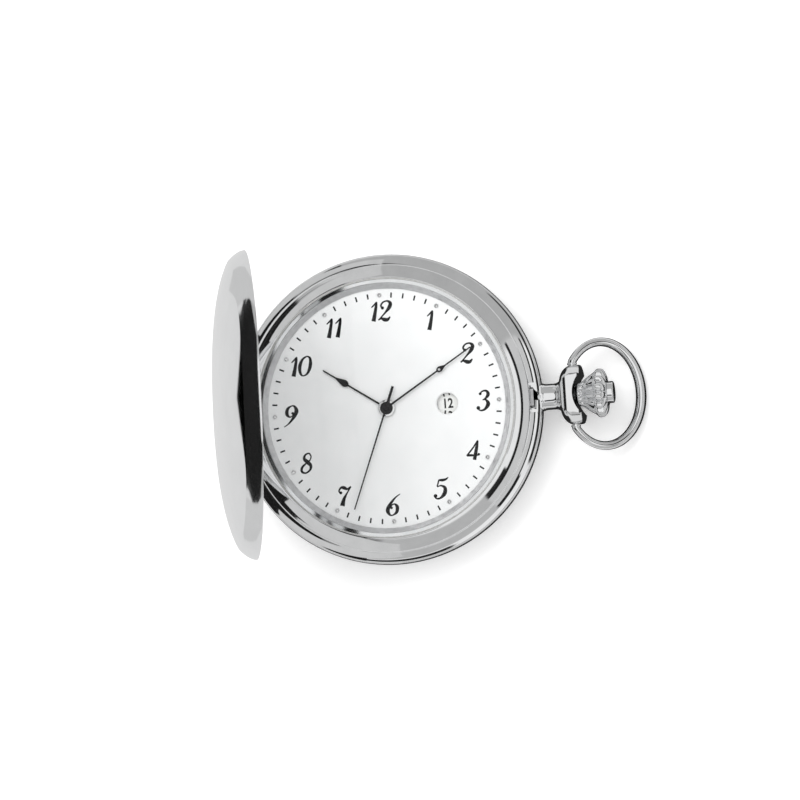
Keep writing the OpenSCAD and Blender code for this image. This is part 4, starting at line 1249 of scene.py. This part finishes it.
@dataclass
class CaseShell:
    """Band, bezel and back cover, turned from bar and polished.

    Attributes:
        radius: outside radius of the case.
        widest: height of its widest line.
        bore: radius of the bore for the movement.
        back_radius: radius of the back cover's rim.
        back_rim: height of the back cover's rim.
        back_wall: wall of the back cover.
        back_land: radius of the flat land on the back.
        back_power: how square the back's shoulder is.
        foot: radius and height of the bezel's foot.
        seat: radius and height of the ledge under the closed lid.
        lip: radius and height of the band's lip round the dial ring.
        step: height of the step in the bore.
        crystal: radius and height of the crystal's seat.
        shelf: radius of the bezel's shelf under the crystal, and how far its underside lies below the seat.
        rebate: radius and height of the bezel's rebate over the band's lip.
        bezel_swell: how far the bezel's slope swells over its chord.
        neck_seat: radius of the flat seat of the pendant, and where it starts along X.
        bore_start: where the pendant's bore starts along X.
        catch: low corner and size of the notch and of the slot for the lid's catch.
        screws: radius, angle and own radius of each screw hole.
        screw_hole: where the holes start in height, and how deep they are.
        pry: half width and depth of the notch for opening the back, and its angle.
    """

    radius: float = 24.1
    widest: float = 5.2
    bore: float = 21.4
    back_radius: float = 23.6
    back_rim: float = 3.2
    back_wall: float = 0.6
    back_land: float = 9.0
    back_power: float = 2.25
    foot: Point2 = (22.4, 7.4)
    seat: Point2 = (23.95, 6.6)
    lip: Point2 = (19.7, 8.0)
    step: float = 7.2
    crystal: Point2 = (20.22, 9.0)
    shelf: Point2 = (19.45, 0.38)
    rebate: Point2 = (21.02, 8.05)
    bezel_swell: float = 0.07
    neck_seat: Point2 = (2.17, 23.7)
    bore_start: float = 20.4
    catch: Tuple[Tuple[Point3, Point3], ...] = (((22.3, -2.3, 6.55), (4, 4.6, 1)),
                                                ((19.4, -1.9, 6.94), (4, 3.8, 0.37)))
    screws: Tuple[Point3, ...] = ((20.55, 90, 0.42), (20.55, -90, 0.42), (20.65, 151, 0.37),
                                  (20.65, -62, 0.37))
    screw_hole: Point2 = (6.2, 1.6)
    pry: Point3 = (1.5, 0.35, 225.0)
    hinge: Hinge = field(default_factory=Hinge)

    def build(self, finish: Material) -> None:
        """Adds the three turned pieces.

        Args:
            finish: the polished steel.
        """
        band = carved(turned(self.band_section()), self.band_cutters())
        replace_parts(new_piece("case_band", band, finish, "case"), "middle_case")
        bezel = turned(self.bezel_section())
        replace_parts(new_piece("case_bezel", bezel, finish, "case"), "bezel")
        back = carved(turned(self.back_section()), [self.pry_notch(0.35, 1)])
        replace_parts(new_piece("case_back", back, finish, "case"), "back_cover")

    def pry_notch(self, below: float, tall: float) -> Mesh:
        """Returns the notch for opening the back, from below the back's rim up.

        Args:
            below: how far under the back's rim it starts.
            tall: its height.

        Returns:
            The mesh, in metres.
        """
        half, deep, angle = self.pry
        low = (self.back_radius - deep, -half, self.back_rim - below)
        return block(low, (2, 2 * half, tall), rotation(angle, "Z"))

    def band_section(self) -> List[Point2]:
        """Returns the band's section, rounded like a tyre outside.

        Returns:
            Points as radius and height.
        """
        low, inner = self.back_rim + 0.02, self.back_radius - 1.1
        (edge, ledge), (foot, base) = self.seat, self.foot
        out = [(self.bore, self.back_rim - 0.8), (inner, self.back_rim - 0.8), (inner, low)]
        out += [(self.radius - (self.radius - self.back_radius) * (1 - t) ** 2,
                 low + (self.widest - self.back_rim - 0.02) * t) for t in shares(24)]
        high = [(self.radius - (self.radius - edge) * t * t, self.widest + (ledge - self.widest) * t)
                for t in shares(16)[1:]]
        out += [p for p in high if p[1] < ledge - 0.42]
        out += smoothed_2d([(edge - 0.02, ledge - 0.36), (edge - 0.16, ledge - 0.2),
                            (edge - 0.6, ledge - 0.02), (edge - 1.1, ledge + 0.3), (foot, base - 0.12)], 6)
        out += [(foot - 0.5, base), (foot - 0.5, self.lip[1]), self.lip, (self.lip[0], self.step),
                (self.bore, self.step)]
        return out

    def band_cutters(self) -> List[Mesh]:
        """Returns the shapes cut from the band: hinge seat, catch pocket, pendant bore, screw holes.

        Returns:
            Their meshes, in metres.
        """
        place, half = self.hinge.place(), self.hinge.half + PLAY
        across = shift(0, 0, self.widest) @ rotation(90, "Y")
        cutters = [block((-5, -half, -0.8), (5.8, 2 * half, 3), place),
                   block((0, -1, -0.95), (3, 2, 1.6), place),
                   block((0, -1, -0.95), (1.18, 2, 2), place)]
        cutters += [block(low, size) for low, size in self.catch]
        cutters += [rod(self.neck_seat[0], 2, across @ shift(0, 0, self.neck_seat[1])),
                    rod(PENDANT_BORE, 5, across @ shift(0, 0, self.bore_start)),
                    self.pry_notch(1, 1.35)]
        low, deep = self.screw_hole
        for radius, angle, size in self.screws:
            cutters.append(rod(size, deep, shift(*polar(radius, angle), low), steps=32))
        return cutters

    def bezel_section(self) -> List[Point2]:
        """Returns the bezel's section: an upright foot, a rounded shoulder and a slope to the crystal.

        Returns:
            Points as radius and height.
        """
        (foot, base), (rebate, seat) = self.foot, self.crystal
        low, high = Vector((foot - 0.3, base + 0.86)), Vector((rebate + 0.12, seat + 0.48))
        chord = high - low
        out_way = Vector((chord.y, -chord.x)).normalized()
        slope = [low + chord * t + out_way * (4 * self.bezel_swell * t * (1 - t)) for t in shares(24)]
        shoulder = filleted([(foot - 0.02, base + 0.1, 0), (foot - 0.06, base + 0.72, 0.5), (*slope[4], 0)],
                            10)[1:-1]
        return ([(foot - 0.48, base + 0.02), (foot - 0.02, base + 0.02), (foot - 0.02, base + 0.1)]
                + shoulder + [tuple(p) for p in slope[4:]]
                + filleted([(rebate + 0.12, seat + 0.48, 0), (rebate, seat + 0.5, 0.05),
                            (rebate, seat + 0.2, 0)])[1:]
                + [(rebate, seat - 0.02), (self.shelf[0], seat - 0.02), (self.shelf[0], seat - self.shelf[1]),
                   (self.rebate[0], seat - self.shelf[1]), self.rebate, (foot - 0.48, self.rebate[1])])

    def back_section(self) -> List[Point2]:
        """Returns the back cover's section: a flat land and a dome out to the rim.

        Returns:
            Points as radius and height.
        """
        outer = dome_curve(self.back_land, self.back_radius, self.back_rim, self.back_power, 48)
        inner = dome_curve(self.back_land - 0.3, self.back_radius - self.back_wall,
                           self.back_rim - self.back_wall, self.back_power, 32)
        return ([(0, 0)] + [(r, self.back_rim - h) for r, h in outer]
                + [(r, self.back_rim - h) for r, h in reversed(inner)] + [(0, self.back_wall)])


@dataclass
class HunterLid:
    """The sprung front cover: a polished dome over a skirt, standing open.

    Attributes:
        radius: radius of the rim.
        bead: radius and height over the rim of the line where the rim's band ends.
        crease: radius and height over the rim of the crease between skirt and dome.
        swell: how far the skirt swells over its chord.
        height: height over the rim.
        power: how flat the dome's middle and how round its shoulder are.
        wall: thickness of the metal.
        lip: thickness of the rim's lip, which clears the ledge.
        smooth: edges sharper than this angle stay sharp, in degrees.
    """

    radius: float = 23.7
    bead: Point2 = (23.6, 0.62)
    crease: Point2 = (22.25, 2.5)
    swell: float = 0.16
    height: float = 5.4
    power: Point2 = (3.2, 0.86)
    wall: float = 0.5
    lip: float = 0.27
    smooth: float = 14.0
    hinge: Hinge = field(default_factory=Hinge)

    def build(self, finish: Material) -> None:
        """Adds the lid where it stands open.

        Args:
            finish: the lid's polish.
        """
        rim = [(self.radius - inset, h) for inset, h in
               ((0.02, 0.2), (0.0, 0.1), (0.03, 0.03), (0.09, 0.0), (self.lip, 0.0))]
        section = self.profile(0.0) + rim + self.profile(self.wall)[::-1]
        solid = turned([(r, self.hinge.height + h) for r, h in section])
        place, half = self.hinge.place(), self.hinge.half + PLAY
        along = place @ shift(0, -half, 0) @ rotation(-90, "X")
        knuckle = self.hinge.knuckle_half + PLAY
        cut = carved(solid, [rod(self.hinge.barrel + self.hinge.clearance, 2 * half, along),
                             block((-1.5, -knuckle, -1), (2.2, 2 * knuckle, 1.92), place)])
        move = self.hinge.opened()
        move.translation *= MM
        cut.transform(move)
        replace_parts(new_piece("hunter_lid", cut, finish, "lid", smooth=self.smooth), "lid")

    def profile(self, inset: float) -> List[Point2]:
        """Returns half the lid's section, from the middle of the dome to the bead.

        Args:
            inset: how far inside the outer face it lies.

        Returns:
            Points as radius and height over the rim.
        """
        edge, foot = self.crease[0] - inset, self.crease[1] - 0.4 * inset
        section = []
        for step in range(57):
            share = math.sin(math.pi / 2 * step / 56)
            section.append((edge * share, foot + (self.height - inset - foot)
                            * (1 - share ** self.power[0]) ** self.power[1]))
        for share in shares(10)[1:]:
            swell = self.swell * math.sin(math.pi * share)
            section.append((edge + (self.bead[0] - inset - edge) * share + swell,
                            foot + (self.bead[1] - foot) * share))
        return section


@dataclass
class Pendant:
    """Neck, scooped collar, and the fluted crown with its cap.

    Attributes:
        axis: height of the crown's axis.
        neck_radius: radius of the neck.
        neck_start: where the neck starts along X.
        neck_end: where the collar meets the neck.
        collar_radius: half width of the collar.
        collar_length: length of the collar.
        scoop: radius of the scoop for the crown and where its middle lies.
        crown_foot: where the crown starts.
        crown_radius: radius of the crown over its flutes.
        crown_length: length of the crown without its cap.
        flutes: number of flutes.
        flute_depth: depth of the flutes as a share of the radius.
        flute_steps: faces round each flute.
        cap: radius and height of the crown's cap.
        hole: radius of the crown's hole for the stem.
        pin_hole: radius of the holes for the bow's pins, and where they lie along X.
        case: radius of the case where the neck meets it, and height of the ledge there.
    """

    axis: float = 5.2
    neck_radius: float = 2.15
    neck_start: float = 23.72
    neck_end: float = 26.8
    collar_radius: float = 4.6
    collar_length: float = 3.5
    scoop: Point2 = (4.4, 33.45)
    crown_foot: float = 29.0
    crown_radius: float = 3.77
    crown_length: float = 5.2
    flutes: int = 14
    flute_depth: float = 0.21
    flute_steps: int = 14
    cap: Point2 = (1.7, 0.97)
    hole: float = 0.62
    pin_hole: Point2 = (0.54, 28.9)
    case: Point2 = (24.03, 6.57)

    def along_x(self, start: float = 0.0) -> Matrix:
        """Returns the move that lays a piece turned round Z along the crown's axis."""
        return shift(start, 0, self.axis) @ rotation(90, "Y")

    def build(self, finish: Material) -> None:
        """Adds the four pieces.

        Args:
            finish: the polished steel.
        """
        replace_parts(new_piece("neck_tube", self.neck_mesh(), finish, "case"), "pendant_neck")
        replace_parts(new_piece("scooped_collar", self.collar_mesh(), finish, "case"), "pendant_collar")
        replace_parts(new_piece("fluted_crown", self.crown_mesh(), finish, "crown", smooth=50.0), "crown")
        radius, tall = self.cap
        section = filleted([(0, 0, 0), (radius, 0, 0.03), (radius, tall - 0.01, 0.3), (0, tall, 0)], 8)
        cap = turned(section, 144, self.along_x(self.crown_foot + self.crown_length + PLAY))
        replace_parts(new_piece("crown_button", cap, finish, "crown"), "crown_cap")

    def neck_mesh(self) -> Mesh:
        """Returns the neck, waisted between the case and the collar.

        Returns:
            The mesh, in metres.
        """
        wide, end = self.neck_radius, self.neck_end
        outside = smoothed_2d([(wide, 24.2), (wide - 0.12, 24.6), (wide - 0.12, end - 0.7),
                               (wide + 0.05, end - 0.25), (wide + 0.2, end)], 8)
        section = [(PENDANT_BORE, self.neck_start), (wide, self.neck_start), *outside, (PENDANT_BORE, end)]
        step = rod(self.case[0], wide, shift(0, 0, self.case[1]), steps=288)
        return carved(turned(section, 144, self.along_x()), [step])

    def collar_mesh(self) -> Mesh:
        """Returns the collar: a round cup, flattened above and below, scooped for the crown.

        Returns:
            The mesh, in metres.
        """
        start, wide, slim = self.neck_end + PLAY, self.collar_radius, self.neck_radius - 0.05
        section = [(PENDANT_BORE, start), (slim, start)]
        for share in shares(24)[1:]:
            angle = math.radians(90 * share)
            section.append((slim + (wide - slim) * math.sin(angle), start + 2 * (1 - math.cos(angle))))
        end = start + self.collar_length
        section += filleted([(wide, start + 2, 0), (wide, end, 0.4), (PENDANT_BORE, end, 0)], 8)[1:]
        flats = self.across(wide - 1, self.neck_end + 2, 192)
        body = carved(turned(section, 192, self.along_x()), [flats], "INTERSECT")
        radius, middle = self.scoop
        scoop = rod(radius, 2 * wide, shift(middle, 0, self.axis - wide), steps=192)
        funnel = rod(PENDANT_BORE, 1.7, self.along_x(self.crown_foot - 1.2), far=2.05)
        return carved(body, [scoop, funnel, self.across(*self.pin_hole, 48)])

    def across(self, radius: float, where: float, steps: int) -> Mesh:
        """Returns a rod through the collar along Y, for cutting.

        Args:
            radius: the rod's radius.
            where: where it lies along X.
            steps: faces round it.

        Returns:
            The rod's mesh.
        """
        reach = self.collar_radius + 1
        return rod(radius, 2 * reach, shift(where, -reach, self.axis) @ rotation(-90, "X"), steps=steps)

    def crown_mesh(self) -> Mesh:
        """Returns the crown: flutes that widen from a smooth neck to a round shoulder.

        Returns:
            The mesh, in metres.
        """
        wide, end = self.crown_radius, self.crown_length
        rows = [(0, 1, 0), (0.25, 1.42, 0), (0.65, 1.76, 0), (1.05, 1.9, 0.4), (1.5, 2.12, 1), (2.1, 2.6, 1),
                (2.7, 3, 1), (3.2, 3.3, 1), (3.5, 3.62, 1), (3.8, wide, 1), (4.4, wide - 0.05, 1),
                (4.75, 3.5, 1), (5, 3.02, 1), (5.14, 2.55, 0.8), (end, 2.1, 0.4), (end, 1.74, 0)]
        count = self.flutes * self.flute_steps
        rings = []
        for along, radius, share in smoothed(rows, 5):
            ring = []
            for j in range(count):
                angle = 2 * math.pi * j / count
                rib = abs(math.cos(angle * self.flutes / 2))
                around = radius * (1 - self.flute_depth * max(share, 0) * (1 - rib))
                ring.append((self.crown_foot + along, around * math.cos(angle),
                             self.axis + around * math.sin(angle)))
            rings.append(ring)
        return carved(lofted(rings), [rod(self.hole, 3.6, self.along_x(self.crown_foot - 1), steps=48)])


@dataclass
class Bow:
    """The D-shaped bow of round wire, hanging from its pins to the table.

    Attributes:
        pin: where its pins lie along X, and their height.
        droop: angle by which it hangs below level.
        middle: middle of its oval, along X when level.
        half_long: half length of the oval of the wire's middle.
        half_wide: half width of that oval.
        turn: half angle of the oval before the ends turn in to the pins.
        wire: radius of the wire at its sides.
        swell: how much thicker it is at the apex.
        straight: where the wire's straight ends start and stop, from the middle outwards.
        shoulder: where the shoulders on the pins start.
        pin_start: where the pins start.
        pin_size: radius and length of the pins.
    """

    pin: Point2 = (28.9, 5.2)
    droop: float = 23.1667
    middle: float = 33.6
    half_long: float = 6.07
    half_wide: float = 8.05
    turn: float = 136.0
    wire: float = 0.65
    swell: float = 0.18
    straight: Point2 = (4.7, 5.1)
    shoulder: float = 4.68
    pin_start: float = 3.5
    pin_size: Point2 = (0.5, 1.6)

    def place(self) -> Matrix:
        """Returns the bow's own frame, tilted by its droop."""
        return shift(self.pin[0], 0, self.pin[1]) @ rotation(self.droop, "Y")

    def build(self, finish: Material) -> None:
        """Adds the bow with its pins.

        Args:
            finish: the polished steel.
        """
        shape = bmesh.new()
        shape.from_mesh(self.wire_mesh())
        wide = self.wire + 0.1
        collar = filleted([(0, 0, 0), (wide, 0, 0.04), (wide, 0.3, 0.12), (0, 0.3, 0)])
        for side in (-1, 1):
            lying = self.place() @ rotation(-90 * side, "X")
            shape.from_mesh(turned(collar, 64, lying @ shift(0, 0, self.shoulder)))
            shape.from_mesh(rod(*self.pin_size, lying @ shift(0, 0, self.pin_start), steps=48))
        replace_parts(new_piece("swinging_bow", as_mesh(shape), finish, "bow", smooth=35.0), "bow")

    def wire_mesh(self) -> Mesh:
        """Returns the bent wire, hanging from its pins.

        Returns:
            The mesh, in metres.
        """
        start, stop = self.straight
        path = [(self.pin[0], -start), (self.pin[0], -stop)]
        for share in shares(120):
            angle = math.radians(-self.turn + 2 * self.turn * share)
            path.append((self.middle + self.half_long * math.cos(angle), self.half_wide * math.sin(angle)))
        path += [(self.pin[0], stop), (self.pin[0], start)]
        fine = smoothed_2d(path, 2)
        last = len(fine) - 1
        rings = []
        for k, (x, y) in enumerate(fine):
            a, b = fine[max(k - 1, 0)], fine[min(k + 1, last)]
            run = math.hypot(b[0] - a[0], b[1] - a[1])
            dx, dy = (b[0] - a[0]) / run, (b[1] - a[1]) / run
            share = math.cos(math.radians(self.turn * (2 * k / last - 1) / 1.4)) ** 2
            radius = self.wire + self.swell * share
            ring = []
            for j in range(32):
                angle = 2 * math.pi * j / 32
                side, lift = radius * math.cos(angle), radius * math.sin(angle)
                lift *= 1 + 0.1 * abs(math.sin(angle)) ** 8
                ring.append((x - self.pin[0] - dy * side, y + dx * side, lift))
            rings.append(ring)
        return lofted(rings, self.place())


@dataclass
class HubRing:
    """The bright turned ring round the hour hand's hub.

    Attributes:
        bore: radius of its hole.
        ridge: radius of its highest line.
        radius: its outside radius.
    """

    bore: float = 0.9
    ridge: float = 1.02
    radius: float = 1.32

    def build(self, finish: Material) -> None:
        """Adds the ring on the hand.

        Args:
            finish: the bright steel of the studs.
        """
        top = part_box("hour_hand")[1][2] / MM
        section = filleted([(self.bore, top - 0.12, 0), (self.radius, top - 0.12, 0),
                            (self.radius, top + 0.01, 0.1), (self.ridge, top + 0.07, 0.08),
                            (self.bore, top + 0.02, 0)])
        new_piece("hour_hub_ring", turned(section, 96), finish, "hours")


@dataclass
class FrameNodes:
    """The frame's own nodes, which get their finishes.

    Attributes:
        nodes: the nodes' objects by name.
    """

    nodes: Dict[str, bpy.types.Object]

    def dress(self) -> None:
        """Gives every node its finish."""
        for finish, names in NODE_FINISH.items():
            for name in names.split():
                self.paint(self.nodes[name], finish.value.material())
        self.paint(self.nodes["crystal"], CrystalFinish().material())

    @staticmethod
    def paint(node: bpy.types.Object, material: Material) -> None:
        """Puts a material in all of a node's slots.

        Args:
            node: the node.
            material: its material.
        """
        if not node.material_slots:
            node.data.materials.append(material)
        for slot in node.material_slots:
            slot.material = material


def write_sizes(before: object, after: object) -> None:
    """Args:
        before: lowest and highest corner of the frame.
        after: lowest and highest corner of the dressed watch.
    """
    def plain(box: Iterable[Iterable[float]]) -> List[List[float]]:
        """Returns a box as plain lists."""
        return [[round(float(v), 6) for v in corner] for corner in box]

    {"cad": plain(before), "visual": plain(after)}


def main() -> None:
    """Builds the scene in order."""
    logging.basicConfig(level=logging.INFO, format="%(name)s: %(message)s")
    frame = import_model()
    cad_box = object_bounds()
    bpy.context.scene.view_settings.view_transform = "Standard"
    CameraView().build()
    Studio().build()
    FrameNodes(frame["nodes"]).dress()
    polish = Finishes.POLISHED.value.material()
    CaseShell().build(polish)
    HunterLid().build(Finishes.LID_POLISH.value.material())
    Pendant().build(polish)
    Bow().build(polish)
    HubRing().build(Finishes.STUD.value.material())
    DialPrint().build()
    DateFigures().build()
    write_sizes(cad_box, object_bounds())


if __name__ == "__main__":
    main()
